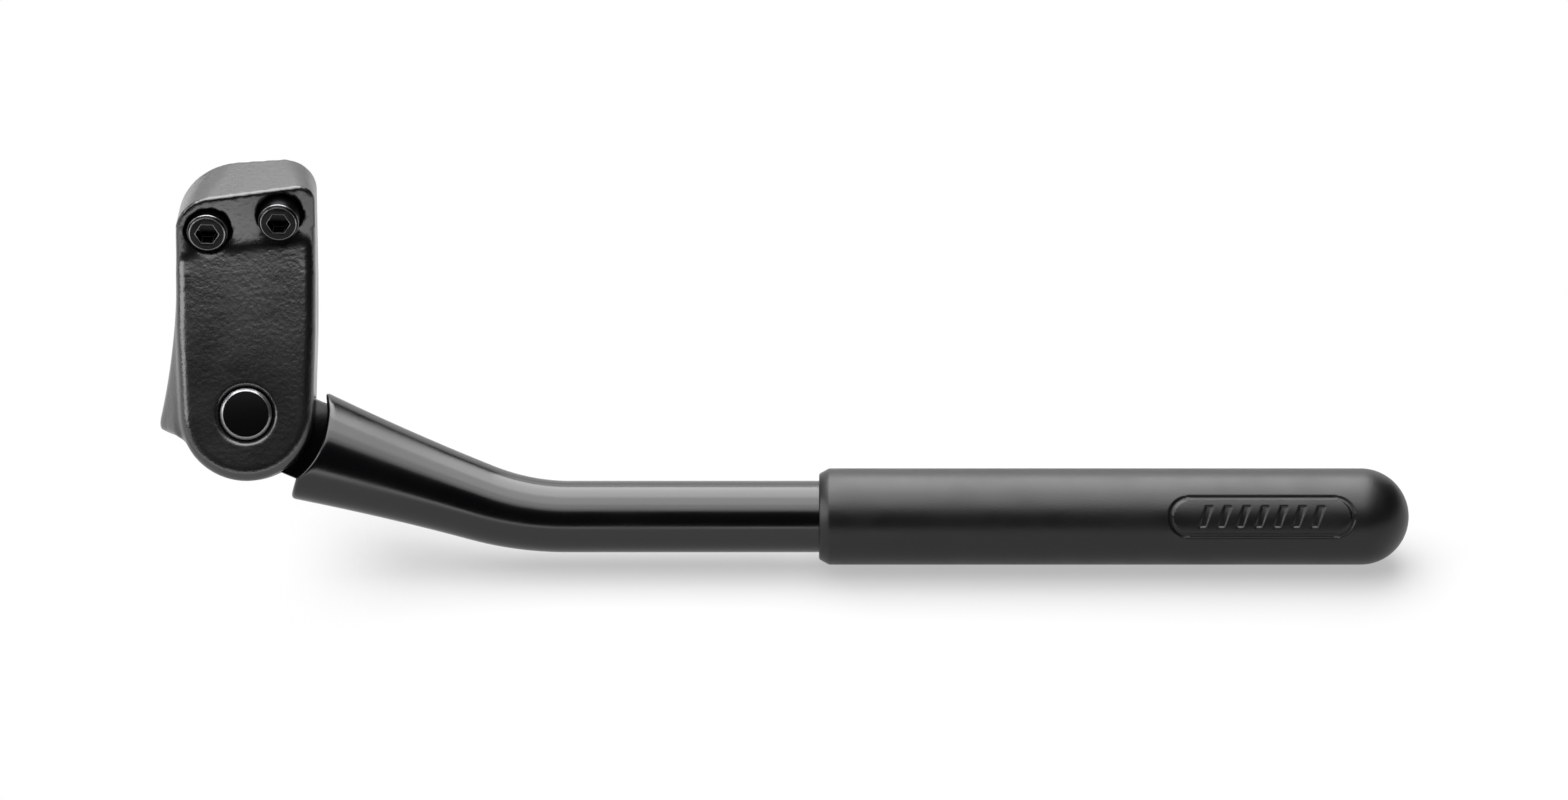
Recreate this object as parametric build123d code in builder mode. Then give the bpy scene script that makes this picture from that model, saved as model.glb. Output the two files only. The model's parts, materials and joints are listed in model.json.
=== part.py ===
"""Rear-mount bicycle kickstand, folded: a bolt-on pivot body, a bent leg and a sliding foot sleeve.

Millimetres.  The origin is midway between the two mounting bolts on the mounting face.
+Y points into the bicycle frame, -Y outward, +Z up, and +X backward along the folded leg.
"""
import os
from math import cos, radians, sin, tan

from build123d import *

# ---------------------------------------------------------------- driving dimensions
# Mounting pattern: two M6 bolts on the standard 18 mm spacing.
bolt_spacing = 18.0
bolt_line_rise = 10.9          # degrees, the bolt line climbs towards +X
bolt_diameter = 6.0
bolt_length = 20.0
shank_diameter = 5.35          # reduced to the thread's pitch diameter inside the body
head_diameter = 10.0
head_height = 6.0
head_chamfer = 0.6
hex_across_flats = 5.0
hex_depth = 3.4
bolt_stick_out = 5.1           # thread beyond the mounting face
washer_outer = 9.9
washer_thickness = 1.6
washer_split = 1.2
counterbore_diameter = 11.3
bolt_hole_play = 0.2           # on the radius

# Pivot axis: tilted so that the deployed foot swings outward.
pivot_x = 1.06
pivot_y = -27.5
pivot_z = -48.2
pivot_rise = 28.8              # degrees above the horizontal
pivot_yaw = 3.2                # degrees about Z
fold_angle = 106.5             # degrees from folded to standing

# Mounting plate.
plate_half_width = 17.25
plate_shift = -0.65
plate_depth = 17.6
plate_front_yaw = 7.8          # degrees, the bolt face looks slightly sideways
plate_top = 7.9
plate_top_slope = 6.0          # degrees
plate_bottom = -21.0
plate_back_left_radius = 17.0
plate_back_right_radius = 8.0
plate_front_left_radius = 9.0
plate_front_right_radius = 4.0

# Pivot head: two ears with the leg's tang between them.
ear_radius = 16.5
ear_half_depth = 11.5
head_top = 44.0
head_round = 3.2
head_bulge = 2.2               # the outer cheek stands this far past the inner one
bulge_start = 2.0              # height above the pivot where the face starts to lean back
bulge_end = 40.5               # height where it is level with the inner cheek's depth
flank_start = 20.0             # height at which the flanks reach the full plate width
slot_floor_radius = 15.0
tang_half_thickness = 4.45
thrust_thickness = 1.0
thrust_outer_radius = 12.0
tang_side_play = 0.05
stop_clearance = 0.3           # tang to slot end, at both ends of the swing

# Stop fin on the left flank.
fin_top = 28.0
fin_mid_height = 11.5
fin_mid_flare = 1.7
fin_flare = 4.3
fin_tip_height = -1.6
fin_tip_face = 2.0
fin_root_x = -15.8
fin_root_y = -6.3
fin_back_depth = 0.0           # local Z at which the full flare is reached
fin_front_depth = 9.0          # local Z at which it fades out
fin_buried = 3.0               # overlap with the head

# Pivot pin and bush.
pin_diameter = 12.8
pin_chamfer = 0.7
pin_front_proud = 0.4
pin_mouth_diameter = 15.2
ring_thickness = 1.0
ring_groove_depth = 0.5
ring_outer_radius = 8.6
ring_gap = 5.0
pin_tail = 1.4                 # pin length behind the retaining ring
flat_clearance = 0.1           # left under the plunger in a flat
flat_width = 6.4
bush_wall = 1.1
running_play = 0.05            # on the radius
pin_mouth_depth = 1.1

# Leg: tang eye, neck, flared forging, bend, straight bar.
eye_radius = 14.5
neck_heading = -23.0           # degrees
neck_half_width = 10.0
flare_gap_radius = 19.8        # concave end face, concentric with the pin
leg_diameter = 17.7
leg_drop = 25.3                # bar axis below the pivot
bend_corner_x = 68.0
bend_angle = 18.4              # degrees
bend_radius = 70.0
flare_reach = 56.0             # from the bend corner back to the flared end
flare_end_turn = 3.0           # degrees, the flared end faces the pin
flare_half_width = 13.85
flare_half_depth = 11.5
flare_power = 1.7
leg_end_x = 246.0
leg_end_chamfer = 1.2

# Detent plunger in the neck.
plunger_diameter = 5.5
plunger_tip_diameter = 4.5
plunger_tip_length = 1.0
plunger_length = 15.5
plunger_travel = 0.4
plunger_play = 0.1
detent_bore_end = 50.0
detent_wire = 0.8
detent_turns = 9
spring_end_play = 0.1

# Foot sleeve.
sleeve_diameter = 23.8
sleeve_start_x = 141.0
sleeve_end_x = 286.6
sleeve_mouth_width = 2.5
sleeve_mouth_drop = 1.3
sleeve_bore_play = 0.1
sleeve_bore_end_x = 272.0
slide_travel = 20.0            # each way from the stored length
badge_x = 250.0
badge_length = 46.0
badge_height = 10.7
badge_rim = 1.0
badge_depth = 0.45
badge_bars = 7
badge_bar_width = 1.6
badge_bar_pitch = 4.6
badge_bar_height = 5.2
badge_bar_slant = 18.0         # degrees

# Guide pin: stops the sleeve turning and pulling off.
guide_pin_diameter = 4.0
guide_pin_x = 236.0
guide_pin_seat = 6.0
guide_pin_stand = 1.2
guide_play = 0.2
guide_end_play = 0.5

# Lock lever on the hidden side of the sleeve.
rack_pitch = 5.0
rack_clearance = 0.3           # left under the tooth in a notch
rack_floor = 2.2               # notch length at its floor
rack_mouth = 3.6               # notch length at the crest
rack_half_height = 5.0
tooth_x = 155.0
lever_pin_x = 165.0
lever_end_x = 178.0
lever_nose_x = 151.5
lever_width = 8.6
lever_play = 0.3
lever_end_play = 0.6
lever_boss_radius = 2.4
lever_socket_radius = 2.4
lever_socket_depth = 1.6
lever_window_end_x = 169.0     # the window is open to the rack up to here
lever_thickness = 3.4
lever_pin_diameter = 2.5
lever_pin_depth = 12.6         # lever pin axis behind the bar axis
tooth_clear = 0.15
tooth_tip = 1.0
tooth_root = 2.2
lever_lock_angle = 6.5         # degrees from released to locked
lever_grooves = 4
lever_groove_pitch = 2.2
lever_groove_width = 0.9
lever_groove_depth = 0.5
lever_groove_x = 169.5         # first grip groove
housing_start_x = 147.5
housing_end_x = 182.0
housing_half_width = 7.2
housing_depth = 15.2           # housing face behind the bar axis
housing_corner = 4.3
housing_round = 1.6
pocket_floor_depth = 10.3
lock_wire = 0.5
lock_coil_radius = 1.7
lock_turns = 3
lock_spring_x = 174.5

# ---------------------------------------------------------------- derived values
pin_radius = pin_diameter / 2
leg_radius = leg_diameter / 2
sleeve_radius = sleeve_diameter / 2
sleeve_bore_radius = leg_radius + sleeve_bore_play
slot_half_depth = tang_half_thickness + tang_side_play + thrust_thickness
bush_outer_radius = pin_radius + running_play + bush_wall
washer_floor_y = bolt_stick_out - bolt_length + washer_thickness
head_face_y = bolt_stick_out - bolt_length - head_height
plunger_tip_radius = pin_radius + running_play
flat_depth = plunger_travel + flat_clearance
tooth_stroke = (lever_pin_x - tooth_x) * tan(radians(lever_lock_angle))
rack_depth = tooth_stroke - tooth_clear + rack_clearance
bend_tangent = bend_radius * tan(radians(bend_angle / 2))
slope_length = flare_reach - bend_tangent
head_face = ear_half_depth + head_bulge
head_lean = head_bulge / (bulge_end - bulge_start)
bend_length = bend_radius * radians(bend_angle)
flare_length = slope_length + bend_length
slot_reach = 3 * ear_radius
neck_reach = flare_gap_radius + eye_radius
rack_half_count = round(slide_travel / rack_pitch)

yaw = radians(pivot_yaw)
rise = radians(pivot_rise)
pivot = Plane(
    origin=(pivot_x, pivot_y, pivot_z),
    x_dir=(cos(yaw), sin(yaw), 0),
    z_dir=(sin(yaw) * cos(rise), -cos(yaw) * cos(rise), sin(rise)),
)


def along_neck(radius):
    """A plane square to the neck at a distance from the pivot, facing away from it."""
    return in_pivot((*polar(radius, neck_heading), 0), (0, 0, 1), (*polar(1, neck_heading), 0))


def in_pivot(origin, x_dir, z_dir):
    """A plane given by its origin and directions in the pivot's own coordinates."""
    return Plane(pivot.location * Plane(origin=origin, x_dir=x_dir, z_dir=z_dir).location)


def across(x, depth=0.0):
    """A plane square to the straight bar at x: its X is up and its Y faces outward."""
    return in_pivot((x, -leg_drop, depth), (0, 1, 0), (1, 0, 0))


def polar(radius, angle):
    """A point of the pivot plane at a radius and an angle in degrees."""
    return (radius * cos(radians(angle)), radius * sin(radians(angle)))


def bolt_place(side):
    """X and Z of one bolt axis; side is -1 for the left bolt and 1 for the right one."""
    tilt = radians(bolt_line_rise)
    return (side * bolt_spacing / 2 * cos(tilt), side * bolt_spacing / 2 * sin(tilt))


def bolt_plane(side, y):
    """A plane on a bolt axis whose normal points outward, along -Y."""
    x, z = bolt_place(side)
    return Plane(origin=(x, y, z), x_dir=(1, 0, 0), z_dir=(0, -1, 0))


guide_plane = in_pivot((guide_pin_x, -leg_drop - leg_radius, 0), (1, 0, 0), (0, 1, 0))


# ---------------------------------------------------------------- mount body
def plate_section(plane, left_radius, right_radius):
    """Rounded outline of the mounting plate on the given plane."""
    rise_per_x = tan(radians(plate_top_slope))
    with BuildSketch(plane) as section:
        with BuildLine():
            Polyline(
                (-plate_half_width, plate_bottom),
                (plate_half_width, plate_bottom),
                (plate_half_width, plate_top + rise_per_x * plate_half_width),
                (-plate_half_width, plate_top - rise_per_x * plate_half_width),
                close=True,
            )
        make_face()
        fillet(section.vertices().group_by(Axis.X)[0].sort_by(Axis.Y)[-1], left_radius)
        fillet(section.vertices().group_by(Axis.X)[-1].sort_by(Axis.Y)[-1], right_radius)
    return section.sketch


def is_head_rim(edge):
    """Whether an edge lies on the rim of the head's outer face."""
    place = pivot.to_local_coords(edge.center())
    beside = abs(place.X) > 0.9 * ear_radius or place.Y < -0.9 * ear_radius
    return beside and place.Z > 0.9 * ear_half_depth


front_yaw = radians(plate_front_yaw)
plate_back_plane = Plane(origin=(plate_shift, 0, 0), x_dir=(1, 0, 0), z_dir=(0, -1, 0))
plate_front_plane = Plane(
    origin=(plate_shift + plate_depth * sin(yaw), -plate_depth * cos(yaw), 0),
    x_dir=(cos(front_yaw), sin(front_yaw), 0),
    z_dir=(sin(front_yaw), -cos(front_yaw), 0),
)
# Centre of the plate's flanks in the pivot's own coordinates.
flank_centre = (plate_shift - pivot_x) * cos(yaw) - pivot_y * sin(yaw)
flank_left = flank_centre - plate_half_width
flank_right = flank_centre + plate_half_width
pivot_up = Axis(pivot.origin, pivot.y_dir)
pivot_out = Axis(pivot.origin, pivot.z_dir)

with BuildPart() as mount_body:
    # Pivot head: a flat-faced slab square to the pivot axis.
    with BuildSketch(pivot.offset(-ear_half_depth)):
        with BuildLine():
            Polyline(
                (ear_radius, 0),
                (flank_right, flank_start),
                (flank_right, head_top),
                (flank_left, head_top),
                (flank_left, flank_start),
                (-ear_radius, 0),
            )
            ThreePointArc((-ear_radius, 0), (0, -ear_radius), (ear_radius, 0))
        make_face()
    extrude(amount=2 * ear_half_depth + head_bulge)
    # The outer face leans back towards the bolt plate on a long arc.
    with BuildSketch(in_pivot((0, 0, 0), (0, 1, 0), (1, 0, 0))):
        with BuildLine():
            TangentArc((bulge_start, head_face), (bulge_end, ear_half_depth), tangent=(1, 0))
            Polyline(
                (bulge_end, ear_half_depth),
                (2 * head_top, ear_half_depth - 2 * head_lean * (2 * head_top - bulge_end)),
                (2 * head_top, 2 * head_face),
                (bulge_start, 2 * head_face),
                (bulge_start, head_face),
            )
        make_face()
    extrude(amount=2 * plate_half_width, both=True, mode=Mode.SUBTRACT)
    fillet(mount_body.edges().filter_by(is_head_rim), head_round)
    # Nothing of the head reaches behind the mounting face.
    with BuildSketch(Plane.XZ.offset(-plate_depth)):
        Rectangle(6 * plate_half_width, 6 * plate_half_width)
    extrude(amount=plate_depth, mode=Mode.SUBTRACT)
    # Mounting plate, from the flat back to the yawed bolt face.
    plate_back = plate_section(plate_back_plane, plate_back_left_radius, plate_back_right_radius)
    plate_front = plate_section(plate_front_plane, plate_front_left_radius, plate_front_right_radius)
    loft([plate_back, plate_front], ruled=True)
    # Stop fin on the left flank, sloping away from the front face.
    with BuildSketch(pivot.offset(-ear_half_depth)):
        with BuildLine():
            ThreePointArc(
                (flank_left, fin_top),
                (flank_left - fin_mid_flare, fin_mid_height),
                (flank_left - fin_flare, fin_tip_height),
            )
            Polyline(
                (flank_left - fin_flare, fin_tip_height),
                (flank_left - fin_flare, fin_tip_height - fin_tip_face),
                (fin_root_x, fin_root_y),
                (fin_root_x + fin_buried, fin_root_y + fin_buried),
                (flank_left + fin_buried, fin_top),
                (flank_left, fin_top),
            )
        make_face()
    extrude(amount=ear_half_depth + fin_front_depth)
    with BuildSketch(in_pivot((flank_left, fin_top, fin_front_depth), (-1, 0, 0), (0, -1, 0))):
        with BuildLine():
            Polyline(
                (0, 0),
                (2 * fin_flare, 0),
                (2 * fin_flare, 2 * (fin_front_depth - fin_back_depth)),
                close=True,
            )
        make_face()
    extrude(amount=2 * fin_top, mode=Mode.SUBTRACT)
    # Slot for the tang, open over the whole swing.
    with BuildSketch(pivot.offset(-slot_half_depth)):
        Circle(slot_floor_radius)
        for swing in (0, -fold_angle):
            heading = neck_heading + swing
            with Locations(Location((*polar(slot_reach / 2, heading), 0), heading)):
                Rectangle(slot_reach, 2 * (neck_half_width + stop_clearance))
        with BuildLine():
            Polyline(
                (0, 0),
                polar(slot_reach, neck_heading),
                polar(slot_reach, neck_heading - fold_angle / 2),
                polar(slot_reach, neck_heading - fold_angle),
                close=True,
            )
        make_face()
    extrude(amount=2 * slot_half_depth, mode=Mode.SUBTRACT)
    # Pin hole with a chamfered mouth.
    with BuildSketch(pivot.offset(-ear_half_depth)):
        Circle(pin_radius)
    extrude(amount=ear_half_depth + head_face, mode=Mode.SUBTRACT)
    with BuildSketch(pivot.offset(head_face - pin_mouth_depth)):
        Circle(pin_radius)
    with BuildSketch(pivot.offset(head_face)):
        Circle(pin_mouth_diameter / 2)
    loft(mode=Mode.SUBTRACT)
    # Counterbored bolt holes.
    for side in (-1, 1):
        with BuildSketch(bolt_plane(side, 0)):
            Circle(bolt_diameter / 2 + bolt_hole_play)
        extrude(amount=2 * plate_depth, mode=Mode.SUBTRACT)
        with BuildSketch(bolt_plane(side, washer_floor_y)):
            Circle(counterbore_diameter / 2)
        extrude(amount=2 * plate_depth, mode=Mode.SUBTRACT)
mount_body.part.label = "mount_body"

# ---------------------------------------------------------------- mounting bolts and washers
mount_bolts = {}
lock_washers = {}
for side, side_name in ((-1, "left"), (1, "right")):
    with BuildPart() as mount_bolt:
        with BuildSketch(bolt_plane(side, bolt_stick_out)):
            Circle(bolt_diameter / 2)
        extrude(amount=bolt_stick_out)
        with BuildSketch(bolt_plane(side, 0)):
            Circle(shank_diameter / 2)
        extrude(amount=bolt_length - bolt_stick_out)
        chamfer(mount_bolt.edges().sort_by(Axis.Y)[-1], head_chamfer)
        with BuildSketch(bolt_plane(side, head_face_y + head_height)):
            Circle(head_diameter / 2)
        extrude(amount=head_height)
        chamfer(mount_bolt.edges().sort_by(Axis.Y)[0], head_chamfer)
        with BuildSketch(bolt_plane(side, head_face_y + hex_depth)):
            RegularPolygon(hex_across_flats / 2, 6, major_radius=False)
        extrude(amount=hex_depth, mode=Mode.SUBTRACT)
    mount_bolt.part.label = f"mount_bolt_{side_name}"
    mount_bolts[side_name] = mount_bolt.part

    with BuildPart() as lock_washer:
        with BuildSketch(bolt_plane(side, washer_floor_y)):
            Circle(washer_outer / 2)
            Circle(bolt_diameter / 2 + running_play, mode=Mode.SUBTRACT)
            with Locations((washer_outer / 2, 0)):
                Rectangle(washer_outer, washer_split, mode=Mode.SUBTRACT)
        extrude(amount=washer_thickness)
    lock_washer.part.label = f"lock_washer_{side_name}"
    lock_washers[side_name] = lock_washer.part

# ---------------------------------------------------------------- pivot pin, ring, washers, bush
ring_start = ear_half_depth + running_play
pin_back = ring_start + ring_thickness + pin_tail
with BuildPart() as pivot_pin:
    with BuildSketch(pivot.offset(-pin_back)):
        Circle(pin_radius)
    extrude(amount=pin_back + head_face + pin_front_proud)
    chamfer(pivot_pin.faces().sort_by(pivot_out)[0].edges(), pin_chamfer)
    chamfer(pivot_pin.faces().sort_by(pivot_out)[-1].edges(), pin_chamfer)
    # Groove for the retaining ring.
    with BuildSketch(pivot.offset(-ring_start - ring_thickness)):
        Circle(2 * pin_radius)
        Circle(pin_radius - ring_groove_depth, mode=Mode.SUBTRACT)
    extrude(amount=ring_thickness, mode=Mode.SUBTRACT)
    # Detent flats for the plunger, one for each end of the swing.
    with BuildSketch(pivot.offset(-flat_width / 2)):
        for swing in (0, -fold_angle):
            heading = neck_heading + swing
            with Locations(Location((*polar(1.5 * pin_radius - flat_depth, heading), 0), heading)):
                Rectangle(pin_radius, 2 * pin_radius)
    extrude(amount=flat_width, mode=Mode.SUBTRACT)
pivot_pin.part.label = "pivot_pin"

with BuildPart() as pin_retaining_ring:
    with BuildSketch(pivot.offset(-ring_start - ring_thickness)):
        Circle(ring_outer_radius)
        Circle(pin_radius - ring_groove_depth + running_play, mode=Mode.SUBTRACT)
        with Locations((0, -ring_outer_radius)):
            Rectangle(ring_gap, 2 * ring_outer_radius - pin_radius, mode=Mode.SUBTRACT)
    extrude(amount=ring_thickness - running_play)
pin_retaining_ring.part.label = "pin_retaining_ring"

thrust_washers = {}
for direction, washer_name in ((1, "thrust_washer_outer"), (-1, "thrust_washer_inner")):
    near_face = direction * (slot_half_depth - thrust_thickness)
    with BuildPart() as thrust_washer:
        with BuildSketch(pivot.offset(near_face)):
            Circle(thrust_outer_radius)
            Circle(pin_radius + running_play, mode=Mode.SUBTRACT)
        extrude(amount=direction * thrust_thickness)
    thrust_washer.part.label = washer_name
    thrust_washers[washer_name] = thrust_washer.part

with BuildPart() as pivot_bush:
    with BuildSketch(pivot.offset(-tang_half_thickness)):
        Circle(bush_outer_radius)
        Circle(pin_radius + running_play, mode=Mode.SUBTRACT)
    extrude(amount=2 * tang_half_thickness)
    with BuildSketch(along_neck(0)):
        Circle(plunger_diameter / 2 + plunger_play)
    extrude(amount=2 * bush_outer_radius, mode=Mode.SUBTRACT)
pivot_bush.part.label = "pivot_bush"

# ---------------------------------------------------------------- leg
def leg_section(distance):
    """Elliptical section of the forging at a distance along its axis from the flared end."""
    slope = radians(bend_angle)
    if distance <= slope_length:
        heading = -slope
        along = flare_reach - distance
        place = (bend_corner_x - along * cos(slope), along * sin(slope) - leg_drop)
    else:
        turned = (distance - slope_length) / bend_radius
        heading = turned - slope
        centre = (bend_corner_x + bend_tangent, bend_radius - leg_drop)
        place = (centre[0] + bend_radius * sin(heading), centre[1] - bend_radius * cos(heading))
    if distance == 0:
        heading -= radians(flare_end_turn)
    remaining = (1 - distance / flare_length) ** flare_power
    half_width = leg_radius + (flare_half_width - leg_radius) * remaining
    half_depth = leg_radius + (flare_half_depth - leg_radius) * remaining
    upward = (-sin(heading), cos(heading), 0)
    onward = (cos(heading), sin(heading), 0)
    with BuildSketch(in_pivot((*place, 0), upward, onward)) as section:
        Ellipse(half_width, half_depth)
    return section.sketch


slope_stations = 3
bend_stations = 3
bar_start_x = bend_corner_x + bend_tangent
with BuildPart() as leg:
    # Flared forging: elliptical sections down the slope and round the bend.
    sections = [leg_section(slope_length * step / slope_stations) for step in range(slope_stations)]
    for step in range(bend_stations + 1):
        sections.append(leg_section(slope_length + bend_length * step / bend_stations))
    loft(sections)
    # Straight bar.
    with BuildSketch(across(bar_start_x)):
        Circle(leg_radius)
    extrude(amount=leg_end_x - bar_start_x)
    bar_end = leg.faces().sort_by(Axis(pivot.origin, pivot.x_dir))[-1]
    chamfer(bar_end.edges(), leg_end_chamfer)
    # Concave end face, clear of the ears.
    with BuildSketch(pivot.offset(-2 * flare_half_depth)):
        Circle(flare_gap_radius)
    extrude(amount=4 * flare_half_depth, mode=Mode.SUBTRACT)
    # Tang: eye and neck.
    with BuildSketch(pivot.offset(-tang_half_thickness)):
        Circle(eye_radius)
        with Locations(Location((*polar(neck_reach / 2, neck_heading), 0), neck_heading)):
            Rectangle(neck_reach, 2 * neck_half_width)
        Circle(bush_outer_radius, mode=Mode.SUBTRACT)
    extrude(amount=2 * tang_half_thickness)
    # Bore for the detent spring and plunger.
    with BuildSketch(along_neck(0)):
        Circle(plunger_diameter / 2 + plunger_play)
    extrude(amount=detent_bore_end, mode=Mode.SUBTRACT)
    # Rack of lock notches on the hidden side.
    for notch in range(-rack_half_count, rack_half_count + 1):
        notch_x = tooth_x + notch * rack_pitch
        with BuildSketch(in_pivot((notch_x, -leg_drop, 0), (1, 0, 0), (0, 1, 0))):
            with BuildLine():
                Polyline(
                    (-rack_floor / 2, leg_radius - rack_depth),
                    (rack_floor / 2, leg_radius - rack_depth),
                    (rack_mouth / 2, leg_radius),
                    (rack_mouth / 2, leg_radius + rack_depth),
                    (-rack_mouth / 2, leg_radius + rack_depth),
                    (-rack_mouth / 2, leg_radius),
                    close=True,
                )
            make_face()
        extrude(amount=rack_half_height, both=True, mode=Mode.SUBTRACT)
    # Seat for the guide pin.
    with BuildSketch(guide_plane):
        Circle(guide_pin_diameter / 2)
    extrude(amount=guide_pin_seat, mode=Mode.SUBTRACT)
leg.part.label = "leg"

# ---------------------------------------------------------------- detent plunger and spring
plunger_back = plunger_tip_radius + plunger_length
with BuildPart() as detent_plunger:
    with BuildSketch(along_neck(plunger_tip_radius)):
        Circle(plunger_tip_diameter / 2)
    extrude(amount=plunger_length)
    shoulder = plunger_tip_radius + plunger_tip_length
    with BuildSketch(along_neck(shoulder)):
        Circle(plunger_diameter / 2)
    extrude(amount=plunger_length - plunger_tip_length)
detent_plunger.part.label = "detent_plunger"


def coil_spring(seat_plane, coil_radius, wire, turns, length):
    """A compression spring standing on its seat plane, clear of both seats."""
    free = length - wire - 2 * spring_end_play
    first_turn = seat_plane.offset(wire / 2 + spring_end_play)
    with BuildPart() as spring:
        with BuildLine() as centreline:
            Helix(free / turns, free, coil_radius, center=first_turn.origin, direction=first_turn.z_dir)
        with BuildSketch(Plane(origin=centreline.line @ 0, z_dir=centreline.line % 0)):
            Circle(wire / 2)
        sweep(path=centreline.line)
    return spring.part


detent_coil_radius = plunger_diameter / 2 - detent_wire / 2
detent_spring = coil_spring(
    along_neck(plunger_back), detent_coil_radius, detent_wire, detent_turns, detent_bore_end - plunger_back
)
detent_spring.label = "detent_spring"

# ---------------------------------------------------------------- foot sleeve
bar_side = in_pivot((0, -leg_drop, 0), (1, 0, 0), (0, 0, 1))        # X along the bar, Y up
bar_back = in_pivot((0, -leg_drop, 0), (1, 0, 0), (0, 0, -1))       # seen from the hidden side
bar_profile = in_pivot((0, -leg_drop, 0), (1, 0, 0), (0, 1, 0))     # Y is the depth behind the axis
bar_axis = Axis(bar_side.origin, bar_side.x_dir)
housing_centre_x = (housing_start_x + housing_end_x) / 2
window_start_x = lever_nose_x - lever_end_play
window_half_width = lever_width / 2 + lever_play

with BuildPart() as foot_sleeve:
    # Round sleeve with a chamfered mouth and a hemispherical foot.
    with BuildSketch(bar_side):
        with BuildLine():
            Polyline(
                (sleeve_end_x, 0),
                (sleeve_start_x, 0),
                (sleeve_start_x, sleeve_radius - sleeve_mouth_drop),
                (sleeve_start_x + sleeve_mouth_width, sleeve_radius),
                (sleeve_end_x - sleeve_radius, sleeve_radius),
            )
            RadiusArc((sleeve_end_x - sleeve_radius, sleeve_radius), (sleeve_end_x, 0), sleeve_radius)
        make_face()
    revolve(axis=bar_axis)
    # Housing of the lock lever on the hidden side.
    with BuildSketch(bar_back):
        with Locations((housing_centre_x, 0)):
            RectangleRounded(housing_end_x - housing_start_x, 2 * housing_half_width, housing_corner)
    extrude(amount=housing_depth)
    fillet(foot_sleeve.faces().sort_by(pivot_out)[0].edges(), housing_round)
    # Bore for the bar.
    with BuildSketch(across(sleeve_start_x)):
        Circle(sleeve_bore_radius)
    extrude(amount=sleeve_bore_end_x - sleeve_start_x, mode=Mode.SUBTRACT)
    # Window over the rack, and the shallower pocket under the press pad.
    with BuildSketch(bar_back):
        with Locations(((window_start_x + lever_window_end_x) / 2, 0)):
            Rectangle(lever_window_end_x - window_start_x, 2 * window_half_width)
    extrude(amount=2 * housing_depth, mode=Mode.SUBTRACT)
    with BuildSketch(bar_back.offset(pocket_floor_depth)):
        with Locations(((window_start_x + lever_end_x + lever_end_play) / 2, 0)):
            Rectangle(lever_end_x + lever_end_play - window_start_x, 2 * window_half_width)
    extrude(amount=housing_depth, mode=Mode.SUBTRACT)
    with BuildSketch(bar_profile):
        with Locations((lever_pin_x, lever_pin_depth)):
            Circle(lever_pin_diameter / 2)
    extrude(amount=housing_half_width, both=True, mode=Mode.SUBTRACT)
    # Guide groove inside the bore, at the bottom.
    with BuildSketch(guide_plane):
        SlotCenterToCenter(2 * (slide_travel + guide_end_play), guide_pin_diameter + 2 * guide_play)
    extrude(amount=guide_pin_stand + guide_play, both=True, mode=Mode.SUBTRACT)
    # Plain badge sunk into the outer face: a pill-shaped rim round slanted bars.
    with BuildSketch(bar_side.offset(sleeve_radius - badge_depth)):
        with Locations((badge_x, 0)):
            SlotOverall(badge_length, badge_height)
            SlotOverall(badge_length - 2 * badge_rim, badge_height - 2 * badge_rim, mode=Mode.SUBTRACT)
        for bar in range(badge_bars):
            bar_x = badge_x + (bar - (badge_bars - 1) / 2) * badge_bar_pitch
            with Locations(Location((bar_x, 0, 0), -badge_bar_slant)):
                Rectangle(badge_bar_width, badge_bar_height)
    extrude(amount=sleeve_radius, mode=Mode.SUBTRACT)
foot_sleeve.part.label = "foot_sleeve"

with BuildPart() as sleeve_guide_pin:
    with BuildSketch(guide_plane.offset(-guide_pin_stand)):
        Circle(guide_pin_diameter / 2)
    extrude(amount=guide_pin_seat + guide_pin_stand)
sleeve_guide_pin.part.label = "sleeve_guide_pin"

# ---------------------------------------------------------------- lock lever
lever_inner_depth = housing_depth - lever_thickness
with BuildPart() as lock_lever:
    with BuildSketch(bar_profile):
        with BuildLine():
            Polyline(
                (lever_nose_x, housing_depth),
                (lever_nose_x, lever_inner_depth),
                (tooth_x - tooth_root / 2, lever_inner_depth),
                (tooth_x - tooth_tip / 2, leg_radius + tooth_clear),
                (tooth_x + tooth_tip / 2, leg_radius + tooth_clear),
                (tooth_x + tooth_root / 2, lever_inner_depth),
                (lever_end_x, lever_inner_depth),
                (lever_end_x, housing_depth),
                close=True,
            )
        make_face()
        with Locations((lever_pin_x, lever_pin_depth)):
            Circle(lever_boss_radius)
            Circle(lever_pin_diameter / 2 + running_play, mode=Mode.SUBTRACT)
        for groove in range(lever_grooves):
            with Locations((lever_groove_x + groove * lever_groove_pitch, housing_depth)):
                Rectangle(lever_groove_width, 2 * lever_groove_depth, mode=Mode.SUBTRACT)
    extrude(amount=lever_width / 2, both=True)
    with BuildSketch(bar_back.offset(lever_inner_depth)):
        with Locations((lock_spring_x, 0)):
            Circle(lever_socket_radius)
    extrude(amount=lever_socket_depth, mode=Mode.SUBTRACT)
lock_lever.part.label = "lock_lever"

with BuildPart() as lock_lever_pin:
    with BuildSketch(bar_profile):
        with Locations((lever_pin_x, lever_pin_depth)):
            Circle(lever_pin_diameter / 2)
    extrude(amount=housing_half_width - lever_play, both=True)
lock_lever_pin.part.label = "lock_lever_pin"

lock_seat = in_pivot((lock_spring_x, -leg_drop, -pocket_floor_depth), (1, 0, 0), (0, 0, -1))
lock_spring = coil_spring(
    lock_seat,
    lock_coil_radius,
    lock_wire,
    lock_turns,
    lever_inner_depth + lever_socket_depth - pocket_floor_depth,
)
lock_spring.label = "lock_spring"

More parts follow.
